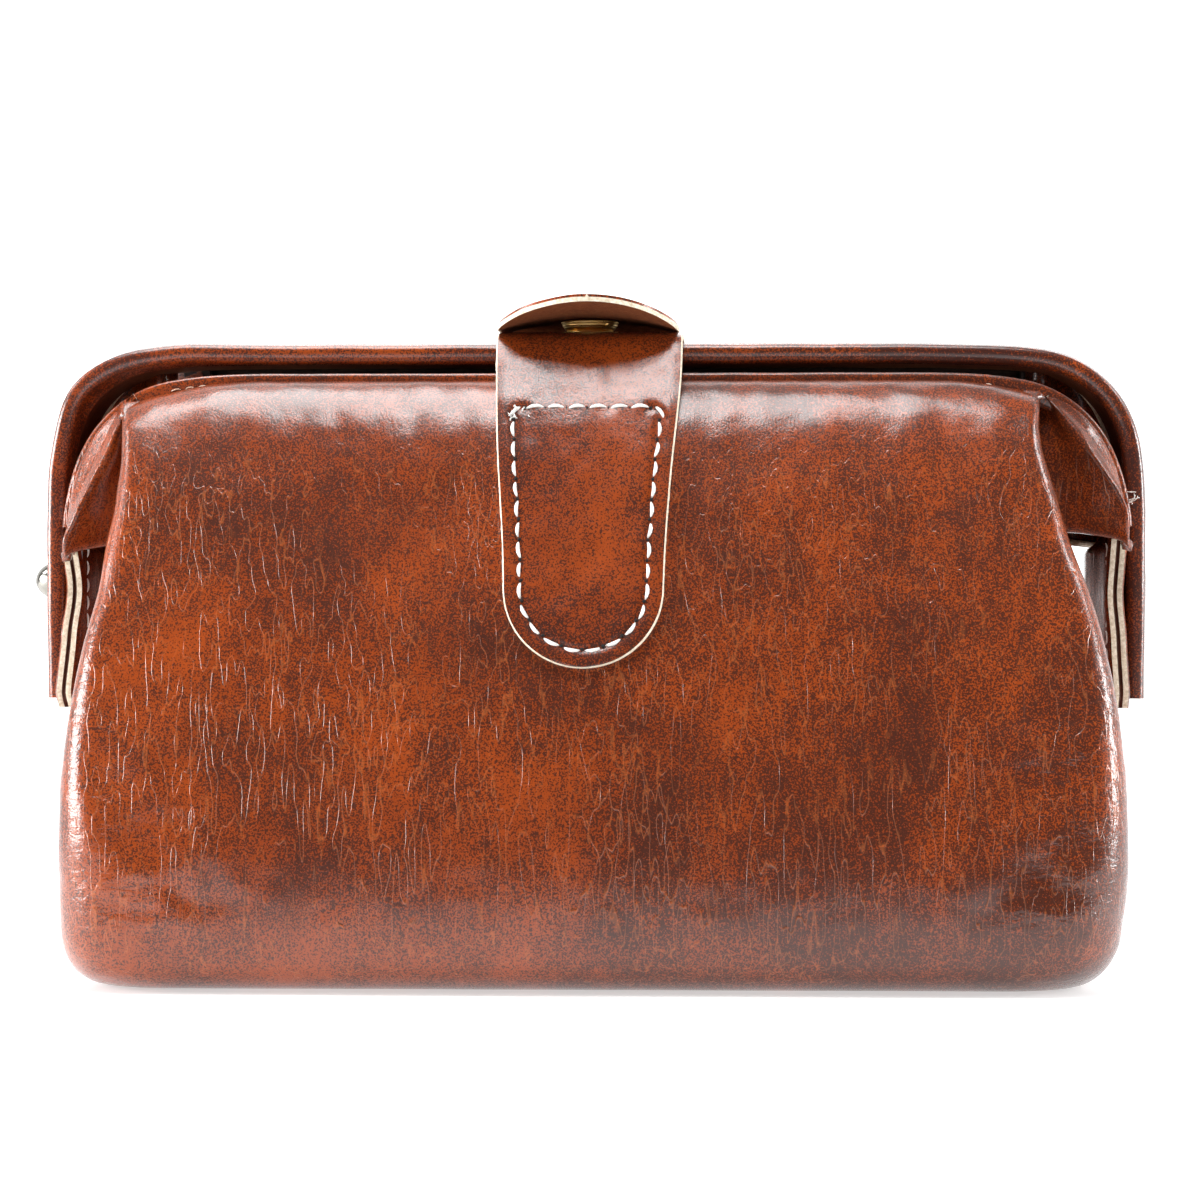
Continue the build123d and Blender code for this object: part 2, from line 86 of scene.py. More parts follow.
# %% [markdown]
# ## Studio
# A catalogue picture is lit softly from above with white card all round. A large soft box overhead and in
# front gives the broad pale band along the shoulder. A box on each side draws a line down the panel's folds,
# two small strips catch the ridges of the ears, and one strip catches the top of the tab. The box behind only
# serves pictures from the back. The surround is nearly dark, because an even glow would veil the deep brown.


# %% Studio
def area_light(name, place, aim, size, power):
    """A soft box that faces a point of the case."""
    data = bpy.data.lights.new(name, "AREA")
    data.shape = "RECTANGLE"
    data.size, data.size_y = size
    data.energy = power
    light = bpy.data.objects.new(name, data)
    bpy.context.collection.objects.link(light)
    light.location = place
    light.rotation_euler = (Vector(aim) - Vector(place)).to_track_quat("-Z", "Y").to_euler()


CASE_MIDDLE = (0, 0, 0.10)
LEFT_EAR_PLACE, RIGHT_EAR_PLACE = (-0.11, -0.02, 0.115), (0.11, -0.02, 0.115)
area_light("top_box", (-0.10, -0.12, 0.74), (0, -0.03, 0.12), (0.60, 0.36), 6.8)
area_light("left_box", (-0.62, -0.17, 0.17), CASE_MIDDLE, (0.32, 0.24), 5.0)
area_light("right_box", (0.62, -0.08, 0.17), CASE_MIDDLE, (0.15, 0.24), 3.0)
area_light("left_strip", (-0.55, -0.05, 0.45), LEFT_EAR_PLACE, (0.14, 0.14), 0.9)
area_light("right_strip", (0.55, -0.05, 0.45), RIGHT_EAR_PLACE, (0.14, 0.14), 1.1)
area_light("back_box", (0.1, 0.60, 0.62), CASE_MIDDLE, (0.8, 0.5), 2.0)
area_light("tab_strip", (-0.029, -0.362, 0.722), (-0.002, -0.022, 0.133), (0.10, 0.13), 0.34)

world = bpy.data.worlds.new("studio")
bpy.context.scene.world = world
world.use_nodes = True
surround = world.node_tree.nodes["Background"]
surround.inputs["Color"].default_value = (1.0, 1.0, 1.0, 1.0)
surround.inputs["Strength"].default_value = 0.03

view = bpy.context.scene.view_settings
view.view_transform = "Standard"
view.look = "None"
view.exposure = 0.0

# %% [markdown]
# ## Helpers for colour and nodes
# Colours are written as the hex values that a paint chart gives and turned to linear light once. One small
# function adds a node with its settings and links and gives its output.


# %% Colour and nodes
def linear(hex_colour):
    """An sRGB hex value as linear RGBA."""
    channels = [int(hex_colour[i : i + 2], 16) / 255 for i in (0, 2, 4)]
    return tuple(c / 12.92 if c <= 0.04045 else ((c + 0.055) / 1.055) ** 2.4 for c in channels) + (1.0,)


def new_material(name):
    """An empty node material and its tree."""
    material = bpy.data.materials.new(name)
    material.use_nodes = True
    material.node_tree.nodes.clear()
    return material, material.node_tree


def node(tree, kind, settings=None, out=0, stops=(), **links):
    """Adds a node: its properties, ramp stops, and sockets or plain values by input name or number."""
    made = tree.nodes.new("ShaderNode" + kind)
    for key, value in (settings or {}).items():
        setattr(made, key, value)
    for place, (position, colour) in enumerate(stops):
        made.color_ramp.elements[place].position = position
        made.color_ramp.elements[place].color = colour
    for key, value in links.items():
        by_number = key[0] == "i" and key[1:].isdigit()
        socket = made.inputs[int(key[1:]) if by_number else key.replace("_", " ")]
        if isinstance(value, bpy.types.NodeSocket):
            tree.links.new(value, socket)
        else:
            socket.default_value = value
    return made.outputs[out] if len(made.outputs) else None


BLACK, WHITE = (0, 0, 0, 1), (1, 1, 1, 1)
TIMES = {"operation": "MULTIPLY"}
TIMES_PLUS = {"operation": "MULTIPLY_ADD"}  # the first value times the second plus the third
PLUS = {"operation": "ADD"}
MINUS = {"operation": "SUBTRACT"}
LARGER = {"operation": "MAXIMUM"}
SIZE_OF = {"operation": "ABSOLUTE"}
COLOURS = {"data_type": "RGBA"}

# %% [markdown]
# ## Glazed leather
# The outside is a split leather with a waxed, glazed polyurethane face, rubbed back so that a bright
# orange-brown shows between specks of dark stain. It is mottled in clouds of 10 to 40 mm, specked at about
# 0.4 mm, which is as fine as the picture shows, and crackled in thin, mostly upright creases 2 to 4 mm
# apart. A picture of a hide could carry all that, but noise follows every piece at its true size. The face
# is glossy: IOR 1.5, roughness about 0.36 under a thin hard glaze of roughness 0.13, for crisp highlights.

# %% Glazed leather: noise scales are counts to the metre
CLOUDS = 26.0  # clouds 38 mm wide
PATCHES = 110.0  # patches 9 mm wide, twice as tall
SPECKS = 2500.0  # specks 0.4 mm wide
GRAIN = 3800.0  # grain 0.26 mm wide
CRINKLES = 430.0  # crinkles 2.3 mm wide, where the leather is pulled at the folds
LEATHER_RELIEF = 0.00017
FACE_ROUGHNESS = 0.36
GLAZE_ROUGHNESS = 0.13


def creases(tree, place, scale, stretch, turn, width):
    """Thin lines where a stretched noise crosses its middle."""
    laid = node(tree, "Mapping", Vector=place, Rotation=(0, turn, 0), Scale=(1.0, 1.0, stretch))
    wave = node(tree, "TexNoise", Vector=laid, Scale=scale, Detail=1.0, Roughness=0.5, Distortion=0.1)
    off = node(tree, "Math", MINUS, i0=wave, i1=0.5)
    away = node(tree, "Math", SIZE_OF, i0=off)
    return node(tree, "ValToRGB", stops=[(0.0, WHITE), (width, BLACK)], i0=away)


def patchy(tree, place, scale, low, high):
    """Soft patches where creases show."""
    where = node(tree, "TexNoise", Vector=place, Scale=scale, Detail=3.0, Roughness=0.6)
    return node(tree, "ValToRGB", stops=[(low, BLACK), (high, WHITE)], i0=where)


def glazed_leather(name, light_hex, mid_hex, dark_hex, crackle=1.0, shift=(0, 0, 0), stain=0.0):
    """Mottled, specked and crackled glazed leather. More stain shows more dark specks."""
    material, tree = new_material(name)
    place = node(tree, "TexCoord", out="Object")
    across = node(tree, "SeparateXYZ", out="X", Vector=place)
    up = node(tree, "SeparateXYZ", out="Z", Vector=place)
    moved = node(tree, "Mapping", Vector=place, Location=shift)
    upright = node(tree, "Mapping", Vector=moved, Scale=(1.0, 1.0, 0.45))
    clouds = node(tree, "TexNoise", Vector=moved, Scale=CLOUDS, Detail=5.0, Roughness=0.62, Distortion=0.5)
    patches = node(tree, "TexNoise", Vector=upright, Scale=PATCHES, Detail=5.0, Roughness=0.7, Distortion=0.8)
    specks = node(tree, "TexNoise", Vector=moved, Scale=SPECKS, Detail=2.0, Roughness=0.6)
    grain = node(tree, "TexNoise", Vector=moved, Scale=GRAIN, Detail=2.0, Roughness=0.6)

    # Clouds and patches set how many specks show, and more specks show towards the right, which paints shade
    # on the case's right side
    stain_and_shade_left, stain_and_shade_right = stain - 0.225, stain - 0.165
    stain_and_right_shade = node(
        tree, "MapRange", Value=across, From_Min=-0.04, From_Max=0.09, To_Min=stain_and_shade_left, To_Max=stain_and_shade_right
    )
    cloud_lift = node(tree, "Math", TIMES_PLUS, i0=clouds, i1=0.36, i2=stain_and_right_shade)
    lift = node(tree, "Math", TIMES_PLUS, i0=patches, i1=0.30, i2=cloud_lift)
    speck_level = node(tree, "Math", PLUS, i0=specks, i1=lift)
    speck_mask = node(tree, "ValToRGB", stops=[(0.575, BLACK), (0.655, WHITE)], i0=speck_level)
    cloud_mask = node(tree, "ValToRGB", stops=[(0.34, BLACK), (0.66, WHITE)], i0=clouds)
    base = node(tree, "Mix", COLOURS, out=2, i0=cloud_mask, i6=linear(light_hex), i7=linear(mid_hex))
    speck_share = node(tree, "Math", TIMES, i0=speck_mask, i1=0.90)
    stained = node(tree, "Mix", COLOURS, out=2, i0=speck_share, i6=base, i7=linear(dark_hex))

    # Creases: tall lines wander mostly upright, others run slantwise, and none reach the smooth shoulder
    tall_patches = patchy(tree, upright, 60.0, 0.30, 0.50)
    slant_patches = patchy(tree, upright, 50.0, 0.46, 0.60)
    tall = node(tree, "Math", TIMES, i0=creases(tree, moved, 400.0, 0.12, 0.05, 0.020), i1=tall_patches)
    slant = node(tree, "Math", TIMES, i0=creases(tree, moved, 300.0, 0.2, 0.7, 0.014), i1=slant_patches)
    either = node(tree, "Math", LARGER, i0=tall, i1=slant)
    below_shoulder = node(tree, "MapRange", Value=up, From_Min=0.124, From_Max=0.110)
    cracked = node(tree, "Math", TIMES, i0=either, i1=below_shoulder)
    crack_share = node(tree, "Math", TIMES, i0=cracked, i1=0.32 * crackle)
    colour = node(tree, "Mix", COLOURS, out=2, i0=crack_share, i6=stained, i7=linear("C26A34"))

    # Relief: creases, specks and grain on soft swells, and crinkles low down near the folds
    crease = node(tree, "Math", TIMES, i0=cracked, i1=0.62 * crackle)
    specked = node(tree, "Math", TIMES_PLUS, i0=specks, i1=-0.40, i2=crease)
    grained = node(tree, "Math", TIMES_PLUS, i0=grain, i1=0.18, i2=specked)
    swell = node(tree, "Math", TIMES_PLUS, i0=patches, i1=1.3, i2=grained)
    from_middle = node(tree, "Math", SIZE_OF, i0=across)
    beside_fold = node(tree, "MapRange", Value=from_middle, From_Min=0.082, From_Max=0.104)
    low_down = node(tree, "MapRange", Value=up, From_Min=0.088, From_Max=0.066)
    near_fold = node(tree, "Math", TIMES, i0=beside_fold, i1=low_down)
    flatter = node(tree, "Mapping", Vector=moved, Scale=(0.6, 1.0, 1.5))
    crinkles = node(
        tree, "TexNoise", Vector=flatter, Scale=CRINKLES, Detail=3.0, Roughness=0.6, Distortion=0.6
    )
    pulled = node(tree, "Math", TIMES, i0=crinkles, i1=near_fold)
    whole = node(tree, "Math", TIMES_PLUS, i0=pulled, i1=2.7 * crackle, i2=swell)
    bump = node(tree, "Bump", Strength=0.55, Distance=LEATHER_RELIEF, Height=whole)
    rough = node(tree, "Math", TIMES_PLUS, i0=speck_mask, i1=0.12, i2=FACE_ROUGHNESS)
    face = node(
        tree, "BsdfPrincipled", Base_Color=colour, Roughness=rough, IOR=1.5, Specular_IOR_Level=0.3,
        Coat_Weight=0.9, Coat_Roughness=GLAZE_ROUGHNESS, Normal=bump, Coat_Normal=bump,
    )
    node(tree, "OutputMaterial", Surface=face)
    return material


case_leather = glazed_leather("glazed_case_leather", "9B4110", "7F320A", "361304")
tab_leather = glazed_leather(
    "glazed_tab_leather", "984010", "80320B", "2A0E05", crackle=0.15, shift=(0.31, 0.1, 0.2), stain=-0.02
)
frame_leather = glazed_leather(
    "glazed_frame_leather", "9C4310", "7E300E", "2A0E07", crackle=0.1, shift=(0.1, 0.5, 0.7), stain=0.02
)
print("leathers:", case_leather.name, tab_leather.name, frame_leather.name)

# %% [markdown]
# ## Flesh side, raw edge, thread and lining
# The leather is faced on one side only. Its back is a dark brown sueded backing, its cut edge shows a
# cream textile core, the thread is a bright white polyester and the lining a plain brown taffeta. All of them
# are matt and only differ in colour, grain and sheen, so one recipe serves them.


# %% Plain finishes
def simple_finish(name, dark, light, scale, roughness, depth, sheen=0.0, shine=0.5):
    """A matt finish mottled between two colours, with a grain of half the mottle's size."""
    material, tree = new_material(name)
    place = node(tree, "TexCoord", out="Object")
    mottle = node(tree, "TexNoise", Vector=place, Scale=scale, Detail=4.0, Roughness=0.6)
    colour = node(tree, "ValToRGB", stops=[(0.3, linear(dark)), (0.7, linear(light))], i0=mottle)
    relief = node(tree, "TexNoise", Vector=place, Scale=scale * 2, Detail=3.0, Roughness=0.6)
    bump = node(tree, "Bump", Strength=0.6, Distance=depth, Height=relief)
    face = node(
        tree, "BsdfPrincipled", Base_Color=colour, Roughness=roughness, Sheen_Weight=sheen,
        Specular_IOR_Level=shine, Normal=bump,
    )
    node(tree, "OutputMaterial", Surface=face)
    return material


flesh_side = simple_finish("dark_backing", "5A2E1A", "754226", 900.0, 0.75, 0.0002, shine=0.12)
raw_edge = simple_finish("cream_cut_edge", "C8B698", "F4EAD8", 1400.0, 0.85, 0.0003)
white_thread = simple_finish("polyester_thread", "D9D4CC", "FBFAF6", 2200.0, 0.55, 0.0001, sheen=0.2)
lining_cloth = simple_finish("taffeta_lining", "241610", "3C271D", 1100.0, 0.7, 0.0001, 0.05, 0.2)
grey_board = simple_finish("grey_board", "6E5C48", "9C876A", 300.0, 0.9, 0.0003)
dark_edge = simple_finish("dark_dyed_edge", "2A120A", "3E1C10", 900.0, 0.75, 0.0001)
# The needle holes' darkness is painted shade.
needle_hole_shade = simple_finish("needle_hole_shadow", "0C0705", "1A0D08", 900.0, 0.9, 0.0001)
glue_line = simple_finish("dark_glue_line", "3A1A0E", "5A2C18", 900.0, 0.7, 0.0001)
rim_white = simple_finish("rim_thread", "B98C6E", "E6D2C0", 900.0, 0.6, 0.0001)
print("materials so far:", len(bpy.data.materials))

# %% [markdown]
# ## Plated metal
# The snap is spun brass with a gilt plating, the rivets are nickel-plated steel and the hoops are zinc-plated
# strip. Plating copies the metal under it, so each is an even mirror with a little wear: a slight drift of
# tone, and fine scratches 0.4 mm apart that widen the highlight.


# %% Plated metal
def plated_metal(name, dark, light, roughness):
    """A plated metal, slightly uneven in tone and polish."""
    material, tree = new_material(name)
    place = node(tree, "TexCoord", out="Object")
    tone = node(tree, "TexNoise", Vector=place, Scale=120.0, Detail=3.0)
    colour = node(tree, "ValToRGB", stops=[(0.3, linear(dark)), (0.7, linear(light))], i0=tone)
    scratch = node(tree, "TexNoise", Vector=place, Scale=2400.0, Detail=2.0)
    rough = node(tree, "Math", TIMES_PLUS, i0=scratch, i1=0.12, i2=roughness)
    bump = node(tree, "Bump", Strength=0.2, Distance=0.00003, Height=scratch)
    face = node(tree, "BsdfPrincipled", Base_Color=colour, Metallic=1.0, Roughness=rough, Normal=bump)
    node(tree, "OutputMaterial", Surface=face)
    return material


gilt_brass = plated_metal("gilt_brass", "F2BE6A", "FFD890", 0.24)
nickel_plate = plated_metal("nickel_plated_rivet", "77746E", "A3A099", 0.16)
zinc_steel = plated_metal("zinc_plated_strip", "8E9092", "A8AAAC", 0.34)
print("metals:", gilt_brass.name, nickel_plate.name, zinc_steel.name)

# %% [markdown]
# ## Mesh helpers
# Bent leather can't be pulled out of a primitive by hand, so its surfaces are laid as rows of points, as a
# pattern cutter marks stations along a panel. Everything round, such as snaps, rivets and thread, starts
# from a primitive and is shaped with operators.


# %% Mesh helpers
def through(stations, places):
    """Smooth values through rows of numbers: a Catmull-Rom curve at the given places from 0 to 1."""
    rows = np.array(stations, dtype=float)
    last = len(rows) - 1
    out = []
    for place in places:
        at = min(max(place, 0.0), 1.0) * last
        i = min(int(at), last - 1)
        f = at - i
        p0, p1, p2, p3 = (rows[min(max(i + k, 0), last)] for k in (-1, 0, 1, 2))
        square = 2 * p0 - 5 * p1 + 4 * p2 - p3
        cube = 3 * p1 - p0 - 3 * p2 + p3
        out.append(0.5 * (2 * p1 + (p2 - p0) * f + square * f**2 + cube * f**3))
    return np.array(out)


def lengths_along(line):
    """How far along a line each of its points lies."""
    return np.concatenate([[0], np.cumsum(np.linalg.norm(np.diff(line, axis=0), axis=1))])


def smooth_step(x):
    """0 below 0, 1 above 1, smooth between."""
    x = min(max(x, 0.0), 1.0)
    return x * x * (3 - 2 * x)


def mesh_from_rows(name, rows, around=False):
    """A quad mesh through equal rows of points in millimetres."""
    count = len(rows[0])
    points = [Vector(p) * MM for row in rows for p in row]
    faces = []
    for i in range(len(rows) - 1):
        for j in range(count if around else count - 1):
            k = (j + 1) % count
            faces.append((i * count + j, i * count + k, (i + 1) * count + k, (i + 1) * count + j))
    mesh = bpy.data.meshes.new(name)
    mesh.from_pydata(points, [], faces)
    mesh.update()
    made = bpy.data.objects.new(name, mesh)
    bpy.context.collection.objects.link(made)
    return made


def only(obj):
    """Selects one object and makes it active."""
    for other in bpy.context.selected_objects:
        other.select_set(False)
    obj.select_set(True)
    bpy.context.view_layer.objects.active = obj


def close_ends(obj, corners):
    """Fills the two open ends of a tube of rows."""
    only(obj)
    bpy.ops.object.mode_set(mode="EDIT")
    bpy.ops.mesh.select_all(action="DESELECT")
    bpy.ops.mesh.select_mode(type="EDGE")
    bpy.ops.mesh.select_non_manifold(extend=False, use_verts=False, use_multi_face=False)
    bpy.ops.mesh.fill_holes(sides=corners)
    bpy.ops.object.mode_set(mode="OBJECT")


def outward(obj):
    """Recalculates the normals of a closed mesh."""
    only(obj)
    bpy.ops.object.mode_set(mode="EDIT")
    bpy.ops.mesh.select_all(action="SELECT")
    bpy.ops.mesh.remove_doubles(threshold=1e-6)
    bpy.ops.mesh.normals_make_consistent(inside=False)
    bpy.ops.object.mode_set(mode="OBJECT")


def smooth_below(obj, degrees):
    """Smooths the shading, but keeps edges sharper than the angle."""
    only(obj)
    bpy.ops.object.shade_smooth_by_angle(angle=math.radians(degrees))


def give(obj, *materials):
    """Sets the materials of a piece and smooths its faces."""
    obj.data.materials.clear()
    for material in materials:
        obj.data.materials.append(material)
    obj.data.shade_smooth()


def thicken(obj, amount, rim=1):
    """Gives a surface a wall inwards. A rim of 1 shows the cut edge there, and 0 keeps the face's finish."""
    wall = obj.modifiers.new("wall", "SOLIDIFY")
    wall.thickness = amount * MM
    wall.offset = -1.0
    wall.material_offset_rim = rim
    only(obj)
    bpy.ops.object.modifier_apply(modifier=wall.name)
    obj.data.shade_smooth()


def copy_of(model):
    """A copy of a modelled piece with its own mesh."""
    copy = model.copy()
    copy.data = model.data.copy()
    bpy.context.collection.objects.link(copy)
    return copy


def join(objects, name):
    """Joins copies into one piece."""
    only(objects[0])
    for obj in objects:
        obj.select_set(True)
    bpy.ops.object.join()
    made = objects[0]
    made.name = name
    made.data.name = name
    return made


def wobble(point, size, seed):
    """Smooth noise from -1 to 1 at a point in millimetres, over lumps of the given size."""
    x, y, z = point
    return noise.noise(Vector((x / size + seed, y / size - seed, z / size + 2 * seed)))


# %% [markdown]
# ## The bag's skin
# Each half of the skin is one piece of leather from the middle of the base, round the roll of its edge, up
# the panel and over the shoulder to the frame. At the sides it turns in and becomes the gusset, which folds
# towards the middle. Rows follow the panel upwards and columns go round it from one gusset fold to the
# other, so the fold at the panel's edge stays crisp above and soft below.

# %% Stations of the skin: height, depth, half width, edge radius, tuck of the gusset
SKIN = [
    (0.35, 0.02, 100.5, 0.02, 0.0),
    (0.30, 16.0, 103.0, 9.0, 0.0),
    (0.15, 29.0, 105.2, 14.0, 0.0),
    (0.35, 36.5, 107.0, 16.0, 0.2),
    (1.9, 42.4, 109.8, 16.5, 0.6),
    (5.2, 46.8, 112.4, 16.0, 1.0),
    (10.5, 49.3, 114.2, 15.0, 3.4),
    (18.0, 50.0, 114.8, 13.5, 6.0),
    (30.0, 49.4, 115.2, 11.0, 10.6),
    (45.0, 47.2, 114.8, 8.5, 15.8),
    (60.0, 44.3, 113.4, 6.5, 20.2),
    (75.0, 41.0, 110.7, 5.2, 23.6),
    (88.0, 37.6, 107.4, 5.0, 25.4),
    (100.0, 34.3, 104.4, 4.6, 26.0),
    (110.0, 31.5, 102.3, 4.0, 27.0),
    (117.0, 29.3, 101.2, 3.4, 27.0),
    (122.4, 27.2, 100.9, 2.8, 27.0),
    (126.6, 24.9, 101.0, 2.4, 27.0),
    (129.8, 22.3, 101.3, 2.2, 27.0),
    (132.2, 19.2, 101.5, 1.8, 27.0),
    (133.2, 16.4, 101.6, 1.4, 27.0),
]
SKIN_ROWS = 150
PANEL_COLUMNS = 190
EDGE_COLUMNS = 12
SIDE_COLUMNS = 22
GUSSET_TOP = 84.0
HEM_TOP = 97.0
UNDER_TAB = 64.0  # above this the leather lies flat under the sewn tab
BACK_RISE, BACK_INSET = 6.5, 2.3  # how the back skin's top differs: higher and nearer the hoop
LINING_RISE, LINING_INSET = 6.0, 1.4
LEATHER = 1.2
ARCH_START, ARCH_FALL = 74, 0.0058


def hoop_drop(x):
    """How far the panel's top edge falls towards its corners, where it follows the frame's arch."""
    reach = max(abs(x) - ARCH_START, 0)
    return ARCH_FALL * reach**2


def skin_row(height, depth, half, radius, tuck, drop):
    """One row of the front skin, from the left gusset fold round the panel to the right one."""
    radius = min(radius, depth * 0.95, half * 0.3)
    # Above the bag's side only a narrow flap of the gusset is left beside the panel
    end = smooth_step((height - GUSSET_TOP) / (HEM_TOP - GUSSET_TOP)) * 0.80
    right = []
    for j in range(SIDE_COLUMNS):
        t = end + (1 - end) * j / SIDE_COLUMNS
        ease = t**1.25
        x = half - tuck * (1 - ease)
        right.append((x, -(depth - radius) * t))
    for j in range(EDGE_COLUMNS):
        angle = math.pi / 2 * j / EDGE_COLUMNS
        x = half - radius + radius * math.cos(angle)
        right.append((x, -(depth - radius) - radius * math.sin(angle)))
    front = []
    for j in range(PANEL_COLUMNS + 1):
        x = (half - radius) * (1 - 2 * j / PANEL_COLUMNS)
        front.append((x, -depth))
    left = [(-x, y) for x, y in reversed(right)]
    # The photographed case leans a little to its left at the top and at the foot
    lean = -1.4 * smooth_step((height - 84) / 16) - 1.9 * smooth_step((height - 100) / 28)
    lean -= 1.3 * (1 - smooth_step((height - 2) / 26))
    row = [(x + lean, y) for x, y in right + front + left][::-1]
    falls = drop * smooth_step((height - 108) / 24)
    return [(x, y, height - falls * hoop_drop(x)) for x, y in row]


def skin_relief(point, normal_reach, seed):
    """How far the leather stands out of its pattern, in millimetres: slack, pulls and crinkles."""
    x, y, z = point
    calm = smooth_step((z - 1.0) / 10.0)
    if z > UNDER_TAB:
        upward = smooth_step((z - UNDER_TAB) / 5)
        beside_tab = smooth_step((abs(x + 1.5) - 18.5) / 9)
        normal_reach *= beside_tab * upward + 1 - upward
    slack = 0.9 * wobble((x, 0, z * 0.8), 46.0, seed) * calm * (1 - smooth_step((z - 103) / 14))
    pulls = 0.32 * wobble((x * 1.6, y * 0.2, z * 0.35), 11.0, seed + 3)
    pulls *= smooth_step((z - 60) / 50) * (1 - smooth_step((z - 129) / 4))
    corner = smooth_step((abs(x) - 62) / 40) * smooth_step((z - 6) / 14) * (1 - smooth_step((z - 46) / 26))
    crinkle = 1.1 * wobble((x * 0.9, y, z * 1.3), 13.0, seed + 7) * corner
    crinkle += 0.45 * wobble((x * 0.9 + z * 0.5, y, z * 1.6), 6.0, seed + 11) * corner
    crinkle *= 1 - 0.85 * smooth_step((abs(x) - 104) / 8)
    fine = 0.10 * wobble((x, y, z), 4.0, seed + 5) * calm
    return (slack + pulls + crinkle + fine) * normal_reach


def towards_hoop(height):
    """0 on the panel, 1 at its top edge."""
    return smooth_step((height - 112) / 24)


def face_away(skin, front):
    """Turns the faces outwards, judged by the one in the middle of the panel."""
    towards = -1 if front else 1
    panel_middle = Vector((0, towards * 0.044, 0.06))
    middle_face = min(skin.data.polygons, key=lambda face: (face.center - panel_middle).length)
    if middle_face.normal.y * towards < 0:
        skin.data.flip_normals()


def make_skin(name, front, seed):
    """The front skin, or the back one turned about the middle."""
    rows = []
    for height, depth, half, radius, tuck in through(SKIN, np.linspace(0, 1, SKIN_ROWS + 1)):
        if not front:
            top = towards_hoop(height)
            height = height + BACK_RISE * top
            depth = depth - BACK_INSET * top
        drop = 1.0 if front else 0.25
        rows.append(skin_row(height, max(depth, 0.01), half, max(radius, 0.01), max(tuck, 0.0), drop))
    grid = np.array(rows)
    columns = grid.shape[1]
    normals = np.cross(np.gradient(grid, axis=0), np.gradient(grid, axis=1))
    length = np.linalg.norm(normals, axis=2, keepdims=True)
    normals = normals / np.where(length < 1e-9, 1, length)
    if normals[SKIN_ROWS // 2, columns // 2][1] > 0:
        normals = -normals
    for i in range(len(rows)):
        for j in range(columns):
            reach = smooth_step(min(j, columns - 1 - j) / SIDE_COLUMNS)
            grid[i, j] += normals[i, j] * skin_relief(grid[i, j], reach, seed)
    grid[:, :, 2] = np.maximum(grid[:, :, 2], 0.02)
    if not front:
        grid[:, :, :2] *= -1
    skin = mesh_from_rows(name, grid.tolist())
    face_away(skin, front)
    give(skin, case_leather, raw_edge, flesh_side)
    thicken(skin, LEATHER, rim=0)
    return skin


front_skin = make_skin("front_skin", True, 1.7)
back_skin = make_skin("back_skin", False, 9.3)

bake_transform(front_skin)
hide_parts("front_panel", "front_panel_upper", "base_panel", "left_gusset", "right_gusset")
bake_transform(back_skin)
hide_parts("back_panel", "back_panel_upper")
print("skin faces:", len(front_skin.data.polygons))

# %% [markdown]
# ## Lining
# A plain cloth lining hangs inside the leather and covers the stiff board of the base. It could hang as a
# simulated cloth, but following the same stations, one leather further in, keeps it from showing outside.


# %% Lining
LINING_INWARD = 2.1
BOARD_THICKNESS = 1.9
CLOTH = 0.5


def make_lining(name, front):
    """One half of the lining, inside one half of the skin."""
    rows = []
    for height, depth, half, radius, tuck in through(SKIN, np.linspace(0.02, 0.965, 70)):
        if not front:
            top = towards_hoop(height)
            height = height + LINING_RISE * top
            depth = depth - LINING_INSET * top
        slope = smooth_step((16 - height) / 12)
        rows.append(
            skin_row(
                max(height, 0.3) + (LINING_INWARD + BOARD_THICKNESS) * slope,
                max(depth - LINING_INWARD, 0.01),
                half - LINING_INWARD,
                max(radius - 0.8, 0.01),
                max(tuck, 0.0),
                1.0 if front else 0.3,
            )
        )
    grid = np.array(rows)
    if not front:
        grid[:, :, :2] *= -1
    lining = mesh_from_rows(name, grid.tolist())
    give(lining, lining_cloth)
    thicken(lining, CLOTH, rim=0)
    return lining


front_lining = make_lining("front_lining", True)
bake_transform(front_lining)
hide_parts("tub_lining", "front_lining_upper", "left_gusset_lining", "right_gusset_lining")
back_lining = make_lining("back_lining", False)
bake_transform(back_lining)
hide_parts("back_lining_upper")
print("lining faces:", len(front_lining.data.polygons) + len(back_lining.data.polygons))

# %% [markdown]
# ## Frame hoops
# Each frame half is a flat steel strip bent to a hoop and wrapped in leather. The back hoop is the wide one
# and its front edge is rolled over a filler, so it catches the light above and falls to black below. The
# front hoop is slim and its leather ends in a thin raised rim. Each is a cross-section carried along the
# hoop's line from foot to foot.

# %% Hoop lines: half of each from the middle of the top to the foot
BACK_HOOP = [
    (0, 141.6), (30, 141.6), (60, 141.6), (80, 141.4), (94.5, 140.8), (104.4, 139.0), (111.2, 135.4),
    (116.6, 129.8), (119.9, 123.0), (121.5, 115.0), (122.0, 106.0), (122.0, 95.0), (122.0, 84.0),
    (121.8, 73.0), (121.7, 62.7),
]
FRONT_HOOP = [
    (0, 133.9), (30, 133.9), (60, 133.9), (78, 133.8), (90, 133.0), (98.6, 131.2), (105.2, 127.6),
    (110.2, 122.8), (113.7, 117.0), (116.0, 110.6), (117.3, 104.0), (117.6, 100.8),
]


def hoop_line(half, step=2.2):
    """A whole hoop from the left foot to the right one, with its outward directions."""
    smooth = through(half, np.linspace(0, 1, 400))
    lengths = lengths_along(smooth)
    count = int(lengths[-1] / step)
    even = np.linspace(0, lengths[-1], count + 1)
    side = np.stack([np.interp(even, lengths, smooth[:, 0]), np.interp(even, lengths, smooth[:, 1])], axis=1)
    left = side[::-1] * np.array([-1, 1])
    line = np.concatenate([left, side[1:]])
    along = np.gradient(line, axis=0)
    along /= np.linalg.norm(along, axis=1, keepdims=True)
    out = np.stack([-along[:, 1], along[:, 0]], axis=1)
    return line, out


def bulge(value, middle, width):
    """A soft bump: 1 in the middle, fading to 0 on either side."""
    return math.exp(-(((value - middle) / width) ** 2))


